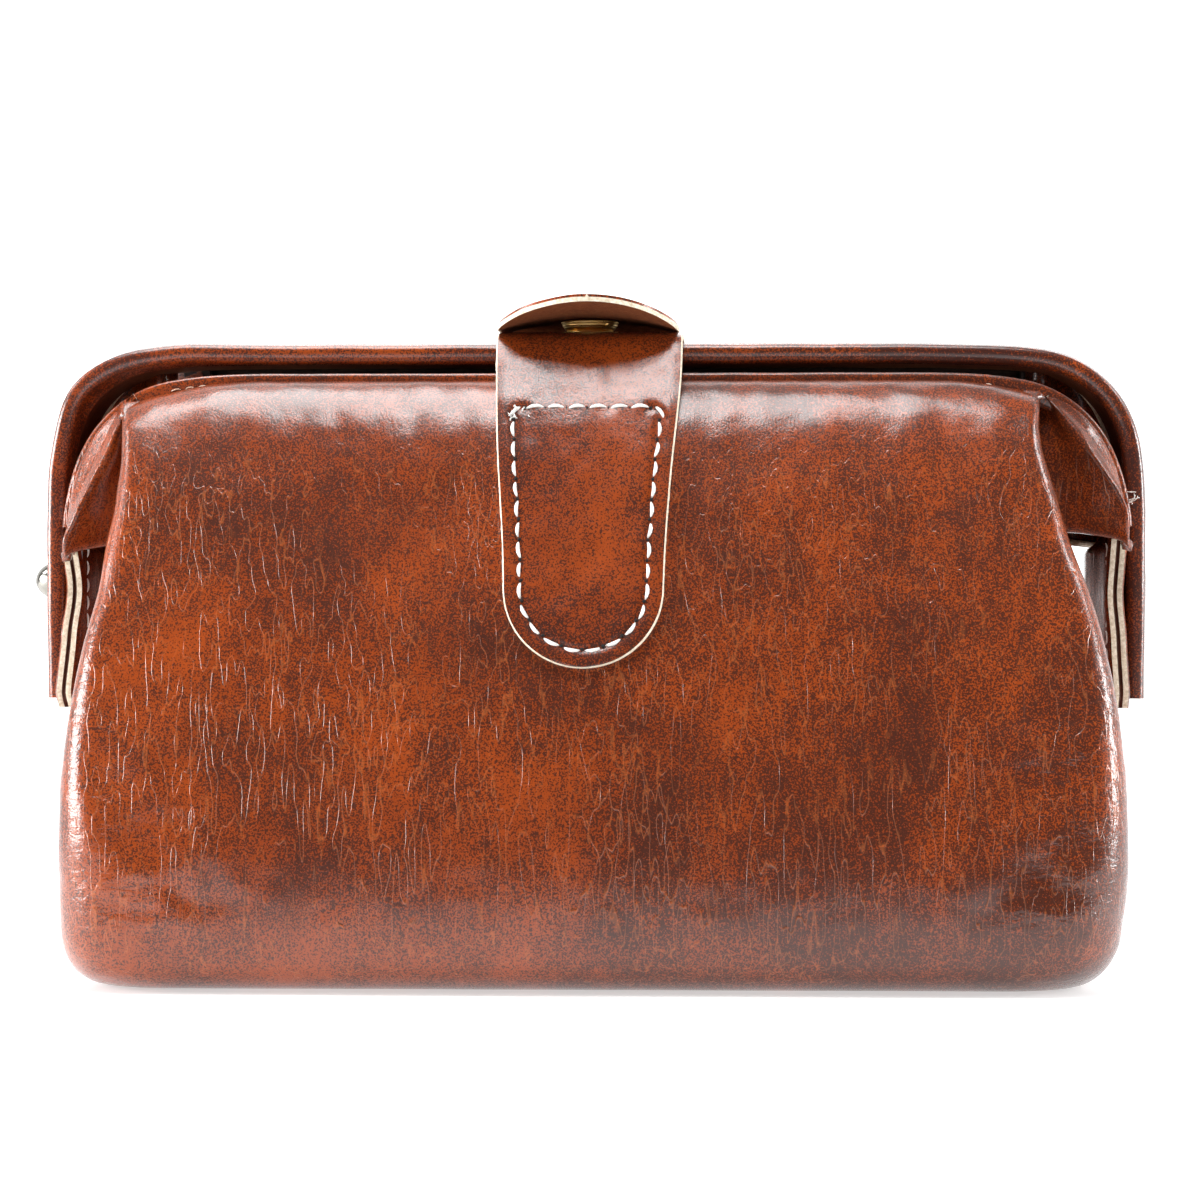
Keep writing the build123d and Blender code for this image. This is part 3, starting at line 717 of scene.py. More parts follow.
def splay(x, z):
    """How far the wide hoop's left arm stands out, as in the photograph."""
    return (1.1 + 1.5 * bulge(z, 133, 7)) * smooth_step((-x - 55) / 60)


def colour_columns(made, count, columns, finish):
    """Gives the faces between the named columns of a section another finish."""
    for face in made.data.polygons:
        if len(face.vertices) == 4 and all(v % count in columns for v in face.vertices):
            face.material_index = finish


def hoop(name, half, section, materials, inner_columns, seed, unevenness=0.12, arms=0):
    """Carries a closed section of (out, y) along a hoop. inner_columns take the second material."""
    line, out = hoop_line(half)
    rows = []
    for (x, z), (ox, oz) in zip(line, out):
        row = []
        for reach, y in section:
            lump = unevenness * wobble((x, y * 2, z), 9.0, seed)
            r = reach + lump
            px, pz = x + ox * r, z + oz * r
            # The inner face stays close to the steel, and only the rest follows the bent arm
            share = arms * (0.2 if reach < -2.5 and y > -7.6 else 1.0)
            px -= splay(x, z) * share
            pz += 0.7 * smooth_step((-x - 70) / 25) * smooth_step((z - 118) / 14) * share
            row.append((px, y + lump * 0.5, pz))
        rows.append(row)
    made = mesh_from_rows(name, rows, around=True)
    close_ends(made, len(section) + 1)
    outward(made)
    give(made, *materials)
    colour_columns(made, len(section), inner_columns, 1)
    smooth_below(made, 50)
    return made


# %% Back hoop cover: each place is (outwards, towards the back), round from the rear edge over the top
BACK_SECTION = [
    (0.0, 14.0), (0.05, 11.0), (0.1, 6.0), (0.1, 1.0), (0.05, -4.0), (0.42, -6.2), (0.46, -7.0),
    (0.08, -8.4), (-0.02, -9.9), (-0.45, -10.7), (-1.3, -10.95), (-2.4, -10.9), (-3.4, -10.5),
    (-4.1, -9.6), (-4.3, -8.4), (-4.2, -7.0), (-4.0, -4.0), (-3.9, 2.0), (-3.9, 8.0), (-3.9, 13.2),
    (-3.7, 14.0), (-2.0, 14.3), (-0.4, 14.2),
]
DYED_EDGE_COLUMNS = range(4, 7)
BACK_FINISHES = (frame_leather, flesh_side, dark_edge)
back_cover = hoop("back_hoop_cover", BACK_HOOP, BACK_SECTION, BACK_FINISHES, range(15, 21), 4.4, arms=1)
colour_columns(back_cover, len(BACK_SECTION), DYED_EDGE_COLUMNS, 2)
print("back cover faces:", len(back_cover.data.polygons))
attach(back_cover, "back_frame")
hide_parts("back_frame_cover", "back_frame_facing")

# %% Front hoop sleeve
FRONT_SECTION = [
    (0.0, -4.4), (0.05, -8.0), (0.1, -12.0), (0.15, -14.2), (0.55, -14.7), (0.95, -15.2), (0.95, -15.9),
    (0.5, -16.3), (-0.4, -16.3), (-1.6, -16.25), (-2.8, -16.2), (-3.5, -15.8), (-3.75, -15.0),
    (-3.75, -12.0), (-3.75, -8.0), (-3.7, -4.6), (-3.2, -4.1), (-1.8, -3.9), (-0.5, -4.0),
]
front_sleeve = hoop(
    "front_hoop_sleeve", FRONT_HOOP, FRONT_SECTION, (case_leather, flesh_side), range(12, 17), 6.1, 0.08
)
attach(front_sleeve, "front_frame")
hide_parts("front_frame_sleeve", "front_frame_facing")

# %% Front hoop steel: the strip inside the sleeve, following the same line down to the rivets
FRONT_STEEL = FRONT_HOOP + [(117.6, 96.0), (117.6, 90.0), (117.6, 84.0)]
STEEL_SECTION = [
    (-1.5, -4.8), (-1.5, -9.6), (-1.5, -14.4), (-2.2, -14.6),
    (-2.9, -14.4), (-2.9, -9.6), (-2.9, -4.8), (-2.2, -4.6),
]
NARROWED_BELOW, NARROWED_FRONT = 0.102, -0.0126  # inside the hinge tabs the strip is cut narrower
front_steel = hoop("front_hoop_steel", FRONT_STEEL, STEEL_SECTION, (zinc_steel,), range(0), 2.0, 0.0)
for vertex in front_steel.data.vertices:
    if vertex.co.z < NARROWED_BELOW:
        vertex.co.y = max(vertex.co.y, NARROWED_FRONT)
print("front steel faces:", len(front_steel.data.polygons))
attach(front_steel, "front_frame")
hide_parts("front_frame_bar")

# %% [markdown]
# ## Ears
# Beside each panel the leather is folded back round the leg of the frame: a cuff that dives behind the
# panel's fold, rises to a soft ridge and turns in under the rim. Its lower end is rolled under as a hem.
# The panel's fold and the rim hold its two edges, so each row is a soft curve drawn from one to the other.

# %% Ears
STATIONS_AT = through(SKIN, np.linspace(0, 1, 600))[200:]  # the panel, above the base


def panel_half(z):
    """Half the panel's width at a height."""
    return float(np.interp(z, STATIONS_AT[:, 0], STATIONS_AT[:, 2]))


def panel_depth(z):
    """How far the panel stands from the middle at a height."""
    return float(np.interp(z, STATIONS_AT[:, 0], STATIONS_AT[:, 1]))


def hoop_reader(half, last):
    """A function that gives a hoop's half width at a height, below its corner."""
    line = sorted((z, x) for x, z in through(half, np.linspace(0.3, last, 80)))
    return lambda z: float(np.interp(z, [p[0] for p in line], [p[1] for p in line]))


front_rim = hoop_reader(FRONT_HOOP, 1)
back_rim = hoop_reader(BACK_HOOP, 0.95)
EAR_LEATHER = 1.3
RIM_STAND = 15.9  # how far the slim hoop's rim stands from the middle
HEM_ROWS = 5


def finish_ear(name, rows, front):
    """The ear's rows as a piece of leather, its face outwards."""
    made = mesh_from_rows(name, rows)
    outer = made.data.polygons[len(made.data.polygons) // 2]
    if (outer.normal.y > 0) == front:
        made.data.flip_normals()
    give(made, case_leather, raw_edge, flesh_side)
    thicken(made, EAR_LEATHER)
    return made


def front_ear(name, side, panel_shift, ridge, hem):
    """A cuff beside the front panel. panel_shift follows the panel's lean, and ridge and hem are tables."""
    ridge_z, ridge_x, ridge_stand = zip(*ridge)
    columns, ear_rows, top, hem_roll = 30, 40, 129.4, 2.6
    rows = []
    for i in range(-HEM_ROWS, ear_rows + 1):
        row = []
        for j in range(columns + 1):
            u = j / columns
            foot = float(np.interp(u, *zip(*hem)))
            z = foot + (top - foot) * max(i, 0) / ear_rows
            fold = panel_half(z) + panel_shift
            depth = panel_depth(z + hoop_drop(98) * smooth_step((z - 104) / 24))
            rim = front_rim(z)
            crest = min(float(np.interp(z, ridge_z, ridge_x)), rim - 0.6)
            stand = float(np.interp(z, ridge_z, ridge_stand))
            # From behind the panel's fold, up to the ridge and in under the rim
            controls = [
                (fold - 4.6, -(depth - 3.0) * 0.83),
                (fold - 2.2, -stand * 0.73),
                (fold + (crest - fold) * 0.30, -(stand * 0.73 + 1.0)),
                (crest - min(2.4, (crest - fold) * 0.4), -(stand - 1.4)),
                (crest, -stand),
                (crest + (rim - crest) * 0.4, -(stand - (stand - RIM_STAND) * 0.45)),
                (rim - 0.2, -(RIM_STAND + (stand - RIM_STAND) * 0.15)),
                (rim - 0.1, -14.6),
            ]
            x, y = through(controls, [u])[0]
            lump = 0.5 * wobble((x, y, z), 7.0, side * 3.1) + 0.2 * wobble((x, y, z), 3.0, side * 5.3)
            y -= lump * math.sin(math.pi * u) * smooth_step((131 - z) / 8)
            if i < 0:
                turn = -i / HEM_ROWS * math.radians(120)
                z -= hem_roll * math.sin(turn)
                y += hem_roll * (1 - math.cos(turn)) * 1.2
            row.append((side * x, y, z))
        rows.append(row)
    if side > 0:
        rows = [row[::-1] for row in rows]
    made = finish_ear(name, rows, True)
    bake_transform(made)
    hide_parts(f"front_{'right' if side > 0 else 'left'}_ear")
    return made


# Height, place and stand of each ridge; then the share of the way across and the height of each hem
RIGHT_RIDGE = [
    (97, 118.4, 23.5), (102, 117.9, 24.5), (109, 114.5, 24.0), (117, 109.2, 22.5), (122, 106.2, 20.8),
    (129, 99.9, 16.7), (132, 98, 15.6),
]
LEFT_RIDGE = [
    (94, 118.0, 23.0), (98, 117.0, 24.0), (107, 112.8, 23.4), (117, 107.9, 21.8), (123, 105.6, 20.0),
    (129, 103.0, 16.7), (132, 101, 15.6),
]
RIGHT_HEM = [(0, 103.0), (0.3, 101.8), (0.55, 99.2), (0.72, 98.8), (0.86, 101.5), (1, 103.6)]
LEFT_HEM = [(0, 100.0), (0.3, 99.0), (0.55, 96.9), (0.72, 96.5), (0.86, 98.4), (1, 100)]
right_ear = front_ear("front_right_cuff", 1, -1.4, RIGHT_RIDGE, RIGHT_HEM)
left_ear = front_ear("front_left_cuff", -1, 1.4, LEFT_RIDGE, LEFT_HEM)
print("ear faces:", len(right_ear.data.polygons), len(left_ear.data.polygons))


# %% Back ears
def back_ear(name, side):
    """The same cuff behind, between the back panel and the wide hoop."""
    columns, ear_rows, top, hem_roll = 24, 36, 138.0, 1.6
    rows = []
    for i in range(-HEM_ROWS, ear_rows + 1):
        row = []
        for j in range(columns + 1):
            u = j / columns
            foot = float(np.interp(u, [0, 0.4, 0.7, 1], [101, 98.6, 97.6, 99.5]))
            z = foot + (top - foot) * max(i, 0) / ear_rows
            fold = panel_half(z) - 0.4
            depth = panel_depth(z)
            rim = back_rim(z) - 3.7
            rim += 0.2 * splay(side * rim, z)
            crest = fold + (rim - fold) * 0.72
            stand = 15.6 + 7.5 * smooth_step((136 - z) / 30)
            # From inside the panel's fold, up to the ridge and down inside the wide hoop
            controls = [
                (fold - 3.0, depth - 3.2),
                (fold - 0.6, depth - 7.0),
                (fold + (crest - fold) * 0.4, stand * 0.80 + 1.5),
                (crest, stand),
                (rim - 0.6, 15.2 + (stand - 15.2) * 0.35),
                (rim - 0.2, 12.4),
            ]
            x, y = through(controls, [u])[0]
            lump = 0.5 * wobble((x, y, z), 8.0, side * 7.7)
            y += lump * math.sin(math.pi * u)
            if i < 0:
                turn = -i / HEM_ROWS * math.radians(115)
                z -= hem_roll * math.sin(turn)
                y -= hem_roll * (1 - math.cos(turn)) * 1.4
            row.append((side * x, y, z))
        rows.append(row)
    made = finish_ear(name, rows, False)
    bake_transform(made)
    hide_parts(f"back_{'right' if side > 0 else 'left'}_ear")
    return made


back_ears = [back_ear("back_right_cuff", 1), back_ear("back_left_cuff", -1)]
print("back ears:", len(back_ears))

# %% [markdown]
# ## Straps
# A strap is cut from 1.6 mm leather and left raw at its edges, so each one shows a cream line along its cut.
# A strap is a closed slab that follows a line seen from the side, with its own width at each station.


# %% Strap slab
ACROSS = -1.5  # the closure sits this far left of the middle
STRAP_LEATHER = 1.6


class Slab:
    """A strap's surface: gives the place and the normal at a station across and along it."""

    def __init__(self, points, flip=1, skew=0.0):
        """Lays the side line through its points. flip turns the outside over, and skew shifts the far end."""
        self.skew = skew
        self.line = through(points, np.linspace(0, 1, 900))
        self.lengths = lengths_along(self.line)
        self.length = float(self.lengths[-1])
        along = np.gradient(self.line, axis=0)
        along /= np.linalg.norm(along, axis=1, keepdims=True)
        self.out = np.stack([-along[:, 1], along[:, 0]], axis=1) * flip

    def at(self, x, s, lift=0.0, droop=0.0):
        """The place and the outward direction at x across and s along, lifted off or drooping."""
        y = np.interp(s, self.lengths, self.line[:, 0])
        z = np.interp(s, self.lengths, self.line[:, 1])
        ny = np.interp(s, self.lengths, self.out[:, 0])
        nz = np.interp(s, self.lengths, self.out[:, 1])
        size = math.hypot(ny, nz)
        x += ACROSS + self.skew * smooth_step((s - 42) / 26)
        return (x, y + ny / size * lift, z + nz / size * lift - droop), (0, ny / size, nz / size)


def make_slab(name, slab, stations, half_width, thick, shape, columns, skin_over=False):
    """Builds the slab: leather on top, cut edge at the sides, flesh side below."""
    rows = []
    edge = 0.34
    for s in stations:
        half = half_width(s)
        inner = max(half - edge, 0.02 * half)
        row = []
        for j in range(columns + 1):
            x = -inner + 2 * inner * j / columns
            lift, droop = shape(x, s, half)
            row.append(slab.at(x, s, thick + lift, droop)[0])
        ragged = 0.10 * wobble((0, s, 0), 1.1, 2.0)
        lift, droop = shape(half, s, half)
        row.append(slab.at(half + ragged, s, thick * 0.62 + lift, droop)[0])
        row.append(slab.at(half - 0.05, s, lift * 0.5, droop)[0])
        for j in range(columns + 1):
            x = inner - 2 * inner * j / columns
            lift, droop = shape(x, s, half)
            row.append(slab.at(x, s, 0.0, droop)[0])
        ragged = 0.10 * wobble((0, s, 5), 1.1, 7.0)
        lift, droop = shape(-half, s, half)
        row.append(slab.at(-half + 0.05, s, lift * 0.5, droop)[0])
        row.append(slab.at(-half - ragged, s, thick * 0.62 + lift, droop)[0])
        rows.append(row)
    made = mesh_from_rows(name, rows, around=True)
    count = len(rows[0])
    give(made, tab_leather, raw_edge, flesh_side)
    for face in made.data.polygons:
        places = {v % count for v in face.vertices}
        rolled = places <= set(range(columns + 2)) or places <= {0, count - 1}
        if places <= set(range(columns + 1)) or (skin_over and rolled):
            face.material_index = 0
        elif places <= set(range(columns + 3, 2 * columns + 4)):
            face.material_index = 2
        else:
            face.material_index = 1
    close_ends(made, count + 1)
    for face in made.data.polygons:
        if len(face.vertices) > 4:
            face.material_index = 1
    outward(made)
    smooth_below(made, 40)
    return made


def round_foot(s, radius):
    """Half the width of a round end at a distance from its tip."""
    return max(math.sqrt(max(radius**2 - (radius - s) ** 2, 0)), 0.05)


def down_and_up(half_width, top, radius, inset, places):
    """Stitches down the left side, round the foot and up the right side, an inset from the edge."""
    line = [(-(half_width(s) - inset), s) for s in np.linspace(top, radius, places)]
    r = radius - inset
    for k in range(1, 40):
        a = math.pi * k / 40
        line.append((-r * math.cos(a), radius - r * math.sin(a)))
    return line + [(half_width(s) - inset, s) for s in np.linspace(radius, top, places)]


def groove(line, x, s, depth):
    """How far the thread pulls the leather down near a line of stitches."""
    near = float(np.min(np.hypot(line[:, 0] - x, line[:, 1] - s)))
    return -depth * bulge(near, 0, 0.9)


# %% Closure tab
TAB_FOOT = 69.9
TAB_LEATHER = 1.55
TAB_ROUND = 17.4
tab_points = [(-(panel_depth(z) + 0.25), z) for z in np.linspace(TAB_FOOT, 128, 12)[:-1]]
tab_points += [(-24.9, 128.0), (-21.7, 133.6), (-18.7, 138.8), (-16.6, 141.3), (-13.4, 142.5)]
tab_points += [(-8.5, 142.8), (-2, 142.8), (4, 142.8), (9.6, 142.8)]
tab_slab = Slab(tab_points, skew=0.5)


def tab_half(s):
    """Half the tab's width: a round foot, then a slight flare to the top."""
    flare = TAB_ROUND + 3.2 * smooth_step((s - 14) / 62)
    return round_foot(s, TAB_ROUND) * flare / TAB_ROUND if s < TAB_ROUND else flare


# The box stitch in the tab's own stations: across, along
STITCH_TOP = 58.6
STITCH_INSET = 3.9
STITCH_CORNER = 2.6


def box_stitch():
    """Places along the box stitch, anticlockwise from the upper left."""
    left_top = -(tab_half(STITCH_TOP) - STITCH_INSET + 0.2)
    side_top = STITCH_TOP - STITCH_CORNER
    quarter = [math.pi / 2 * k / 8 for k in range(9)]
    round_left = left_top + STITCH_CORNER
    bow = [(STITCH_CORNER * math.sin(a), STITCH_CORNER * math.cos(a)) for a in quarter]
    line = [(round_left - x, side_top + y) for x, y in bow]
    line += down_and_up(tab_half, side_top, TAB_ROUND, STITCH_INSET, 30)
    line += [(y - round_left, side_top + x) for x, y in bow]
    return np.array(line + [(round_left, STITCH_TOP)])


stitch_line = box_stitch()


def tab_shape(x, s, half):
    """Leather swell between the stitches and a groove under them."""
    rim = -0.15 * smooth_step(1 - (half - abs(x)) / 2.2) if s < 90 else 0
    swell = 0.22 * wobble((x, s, 0), 9.0, 3.0) + 0.10 * wobble((x, s, 0), 3.5, 8.0)
    return groove(stitch_line, x, s, 0.42) + rim + swell, 0.0


tab_stations = [TAB_ROUND * (1 - math.cos(a)) for a in np.linspace(0.02, math.pi / 2, 34)]
tab_stations += list(np.linspace(TAB_ROUND, tab_slab.length, 110))[1:]
closure_tab = make_slab("closure_tab_leather", tab_slab, tab_stations, tab_half, TAB_LEATHER, tab_shape, 54)
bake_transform(closure_tab)
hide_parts("closure_tab", "closure_tab_top")
print("tab length:", round(tab_slab.length, 1))

# %% [markdown]
# ## Thread
# The tab is held by a box of white lock stitches about 4.5 mm long that sink at both ends into their needle
# holes. One stitch is a stretched ball; it is copied along the line.


# %% Stitches
def thread_piece(length, width, bow=0.0):
    """One stitch along X, modelled once."""
    bpy.ops.object.select_all(action="DESELECT")
    bpy.ops.mesh.primitive_uv_sphere_add(segments=8, ring_count=7, radius=1.0, rotation=(0, math.pi / 2, 0))
    made = bpy.context.object
    bpy.ops.object.transform_apply(location=True, rotation=True, scale=True)
    bpy.ops.object.mode_set(mode="EDIT")
    bpy.ops.mesh.select_all(action="SELECT")
    bpy.ops.transform.resize(value=(length / 2 * MM, width / 2 * MM, width / 2.4 * MM))
    bpy.ops.object.mode_set(mode="OBJECT")
    for vertex in made.data.vertices:
        t = vertex.co.x / (length / 2 * MM)
        vertex.co.z -= 0.55 * width * MM * t * t
        vertex.co.y -= bow * MM * (1 - t * t)
    return made


STITCH_PITCH = 4.5
STITCH_JITTER = 0.12
THREAD_LIFT = 0.22


def lay_along(name, model, line, surface, phase, material, seed):
    """Copies a modelled stitch along a line of (across, along) places on a surface."""
    draw = random.Random(seed)
    lengths = lengths_along(line)
    count = int(lengths[-1] / STITCH_PITCH)
    true_pitch = lengths[-1] / count

    def surface_at(distance):
        """The place and the normal at a distance along the line."""
        distance = min(max(distance, 0), lengths[-1])
        return surface(np.interp(distance, lengths, line[:, 0]), np.interp(distance, lengths, line[:, 1]))

    copies = []
    for k in range(count):
        at = (k + phase) * true_pitch
        place, normal = surface_at(at)
        normal = Vector(normal).normalized()
        along = (Vector(surface_at(at + 0.6)[0]) - Vector(surface_at(at - 0.6)[0])).normalized()
        slant = draw.uniform(-STITCH_JITTER, STITCH_JITTER)
        along = (along + normal.cross(along) * slant).normalized()
        across = normal.cross(along).normalized()
        turn = Matrix((along, across, normal)).transposed().to_4x4()
        copy = copy_of(model)
        copy.data.transform(Matrix.Translation(Vector(place) * MM) @ turn)
        copies.append(copy)
    made = join(copies, name)
    give(made, material)
    return made


def tab_surface(x, s):
    """The tab's top face under the stitches."""
    lift, droop = tab_shape(x, s, tab_half(s))
    return tab_slab.at(x, s, TAB_LEATHER + lift + THREAD_LIFT, droop)


def tab_hole_surface(x, s):
    """Just under the tab's face, where the needle went in."""
    return tab_slab.at(x, s, TAB_LEATHER - 0.15)


stitch_model = thread_piece(4.1, 0.85, 0.4)
hole_shade_model = thread_piece(0.95, 0.75)
tab_thread = lay_along("tab_thread", stitch_model, stitch_line, tab_surface, 0.5, white_thread, 3)
# Dark spots set just under the face at each needle hole: painted shade of the holes.
tab_hole_shade = lay_along("tab_needle_hole_shade", hole_shade_model, stitch_line, tab_hole_surface, 1.0, needle_hole_shade, 5)
print("tab stitches:", int(lengths_along(stitch_line)[-1] / STITCH_PITCH))
for piece in (tab_thread, tab_hole_shade):
    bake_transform(piece)

# %% [markdown]
# ## Closure strap
# The strap comes up from the back panel, turns over the wide hoop and ends round in front, over the snap. Its
# free end droops at the sides, which shows the pale cut edge as a thin arc. The part that turns and the foot
# sewn on the back are two slabs, since one folds at the hoop and the other moves with the bag.

# %% Closure strap: from behind the frame over to its free end
STRAP_BACK = 16.3
STRAP_ROUND = 15.5
STRAP_NARROW, STRAP_WIDE = 19.3, 20.1
strap_points = [
    (STRAP_BACK, 139.0), (STRAP_BACK, 141.2), (STRAP_BACK, 143.4), (STRAP_BACK - 0.2, 145.2), (15.0, 146.7),
    (12.6, 147.2), (8, 147.25), (2, 147.25), (-4, 147.25), (-10, 147.35), (-16, 147.7), (-22, 148.3),
    (-27, 148.9), (-31, 149.3),
]
strap_slab = Slab(strap_points, flip=-1, skew=0.9)


def strap_half(s):
    """Half the strap's width, with its round free end."""
    left = strap_slab.length - s
    if left < STRAP_ROUND:
        t = 1 - left / STRAP_ROUND
        return max(STRAP_WIDE * math.sqrt(max(1 - t * t, 0)), 0.05)
    return STRAP_NARROW + (STRAP_WIDE - STRAP_NARROW) * smooth_step((s - 12) / 12)


def strap_shape(x, s, half):
    """The free end droops at its sides and swells a little between."""
    free = smooth_step((s - 9) / 14)
    side_droop = 2.8 + 0.8 * smooth_step((s - 32) / 9)
    droop = (side_droop * (x / STRAP_NARROW) ** 2 - 0.3) * free
    return 0.15 * wobble((x, s, 0), 8.0, 13.0), droop


round_start = strap_slab.length - STRAP_ROUND
round_turns = np.linspace(0, math.pi / 2 - 0.02, 34)[1:]
strap_stations = list(np.linspace(0, round_start, 60))
strap_stations += [round_start + STRAP_ROUND * math.sin(turn) for turn in round_turns]
closure_strap = make_slab(
    "closure_strap_leather", strap_slab, strap_stations, strap_half, STRAP_LEATHER, strap_shape, 44, True
)
print("strap length:", round(strap_slab.length, 1))
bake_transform(closure_strap)
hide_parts("closure_strap", "strap_root")

# %% Strap foot on the back panel
FOOT_LOW, FOOT_HIGH = 88, 138
FOOT_ROUND = 18.0
FOOT_STITCH_TOP = 44.0
FOOT_INSET = 3.8


def back_depth(z):
    """How far the back panel's leather stands from the middle at a height."""
    return panel_depth(z - BACK_RISE * towards_hoop(z)) - BACK_INSET * towards_hoop(z)


def foot_half(s):
    """Half the foot's width: a round end, then a slight flare."""
    if s < FOOT_ROUND:
        return round_foot(s, FOOT_ROUND)
    return FOOT_ROUND + 1.3 * smooth_step((s - FOOT_ROUND) / 20)


def foot_shape(x, s, half):
    """Leather swell and a groove under the stitches."""
    return groove(foot_line, x, s, 0.4) + 0.2 * wobble((x, s, 0), 9.0, 23.0), 0.0


def foot_surface(x, s):
    """The foot's outer face under the stitches."""
    return foot_slab.at(x, s, STRAP_LEATHER + foot_shape(x, s, FOOT_ROUND)[0] + THREAD_LIFT)


foot_points = [(back_depth(z) + 0.55, z) for z in np.linspace(FOOT_LOW, FOOT_HIGH, 11)]
foot_points += [(STRAP_BACK + 0.3, 139.2)]
foot_slab = Slab(foot_points, flip=-1)
foot_line = down_and_up(foot_half, FOOT_STITCH_TOP, FOOT_ROUND, FOOT_INSET, 20)
foot_line = np.array(foot_line + foot_line[:1])
foot_stations = [FOOT_ROUND * (1 - math.cos(a)) for a in np.linspace(0.02, math.pi / 2, 30)]
foot_stations += list(np.linspace(FOOT_ROUND, foot_slab.length, 60))[1:]
strap_foot = make_slab(
    "strap_foot_leather", foot_slab, foot_stations, foot_half, STRAP_LEATHER, foot_shape, 44
)
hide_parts("strap_foot")
foot_thread = lay_along("strap_foot_thread", stitch_model, foot_line, foot_surface, 0.5, white_thread, 9)
print("foot length:", round(foot_slab.length, 1))
for piece in (strap_foot, foot_thread):
    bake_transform(piece)
for model in (stitch_model, hole_shade_model):
    bpy.data.objects.remove(model)

# %% [markdown]
# ## Hinge tabs
# Each leg of the front hoop ends in a tab of leather folded round the steel, skin out, with its raw edges
# towards the front. From the front the edges show as two cream lines with the dark glue line between them.
# The outline seen from above is stacked from the foot to the top, which gives both edges their own fray.

# %% Hinge tabs
TAB_TOP, TAB_BOTTOM = 102.6, 60.6
TAB_INNER, TAB_OUTER = 114.0, 117.9
TAB_FRONT, TAB_REAR = -14.0, 9.0
TAB_CORNERS = 20


def tab_ring(front, rear):
    """The tab's outline seen from above: its two raw edges in front with the glue line between them."""
    inner, outer = TAB_INNER, TAB_OUTER
    middle = (inner + outer) / 2
    return [
        (outer, front + 0.5), (outer - 0.35, front + 0.02), (outer - 0.9, front),
        (middle + 0.45, front + 0.05), (middle, front + 0.62), (middle - 0.45, front + 0.05),
        (inner + 0.9, front), (inner + 0.35, front + 0.02), (inner, front + 0.5),
        (inner, -8), (inner, -2), (inner, 4),
        (inner, rear - 1.2), (inner + 0.6, rear - 0.3), (middle, rear), (outer - 0.6, rear - 0.3),
        (outer, rear - 1.2), (outer, 4), (outer, -2), (outer, -8),
    ]


def tab_lean(side, z):
    """How far a tab's front edge bends towards the middle, as each does in the photograph."""
    if side > 0:
        lean = 0.9 * bulge(z, 86, 9) - 0.5 * smooth_step((74 - z) / 12)
    else:
        lean = 1.5 * bulge(z, 87, 8) - 1.7 - 1.1 * smooth_step((76 - z) / 14)
    return lean * smooth_step((103 - z) / 8) + 0.15 * wobble((0, 0, z), 9.0, side * 2.0)


def hinge_tab(name, side):
    """A folded leather tab: a flat slab whose front edge is two raw edges side by side."""
    middle = (TAB_INNER + TAB_OUTER) / 2
    rows = []
    for z in np.linspace(TAB_BOTTOM, TAB_TOP, 40):
        pull = 3.2 * (1 - smooth_step((z - TAB_BOTTOM) / 4.0))
        front, rear = TAB_FRONT + pull, TAB_REAR - pull
        lean = tab_lean(side, z)
        # Towards the rear the inner face stands off the steel, between the foot and the top
        gap = 3.9 * smooth_step((z - 61) / 5) * smooth_step((99 - z) / 4)
        ring = []
        for x, y in tab_ring(front, rear):
            fray = 0.12 * wobble((x * 3, 0, z), 0.9, 4.0 + side) if y < -8.5 + pull else 0
            share = smooth_step((-y - 5) / 7)
            slant = gap * smooth_step((y - front) / 20) if x < middle - 0.1 else 0
            ring.append((side * (x - lean * share - slant), y + fray, z))
        rows.append(ring)
    made = mesh_from_rows(name, rows, around=True)
    give(made, case_leather, raw_edge, glue_line)
    for columns, finish in (((1, 2, 3), 1), ((5, 6, 7), 1), ((3, 4, 5), 2)):
        colour_columns(made, TAB_CORNERS, columns, finish)
    close_ends(made, TAB_CORNERS + 1)
    outward(made)
    smooth_below(made, 40)
    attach(made, "front_frame")
    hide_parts(f"{'right' if side > 0 else 'left'}_hinge_tab")
    return made


hinge_tabs = [hinge_tab("right_hinge_fold", 1), hinge_tab("left_hinge_fold", -1)]
print("hinge tab faces:", len(hinge_tabs[0].data.polygons))

# %% Hinge tab stitches: a row down each inner face
UPRIGHT = Matrix.Rotation(math.pi / 2, 4, "Y")
for side, word in ((1, "right"), (-1, "left")):
    model = thread_piece(3.2, 0.6)
    row = []
    for k in range(9):
        copy = copy_of(model)
        place = Vector((side * (TAB_INNER - 0.5), -11.4, 64.5 + 3.9 * k)) * MM
        copy.data.transform(Matrix.Translation(place) @ UPRIGHT)
        row.append(copy)
    thread = join(row, f"{word}_hinge_thread")
    give(thread, white_thread)
    bpy.data.objects.remove(model)
    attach(thread, "front_frame")
print("hinge stitches in a row:", len(row))

# %% [markdown]
# ## Rim stitches
# The front panel is sewn into the slim hoop with a fine thread that mostly sinks into the crease under the
# rim. Only its crowns show, as short pale dashes.

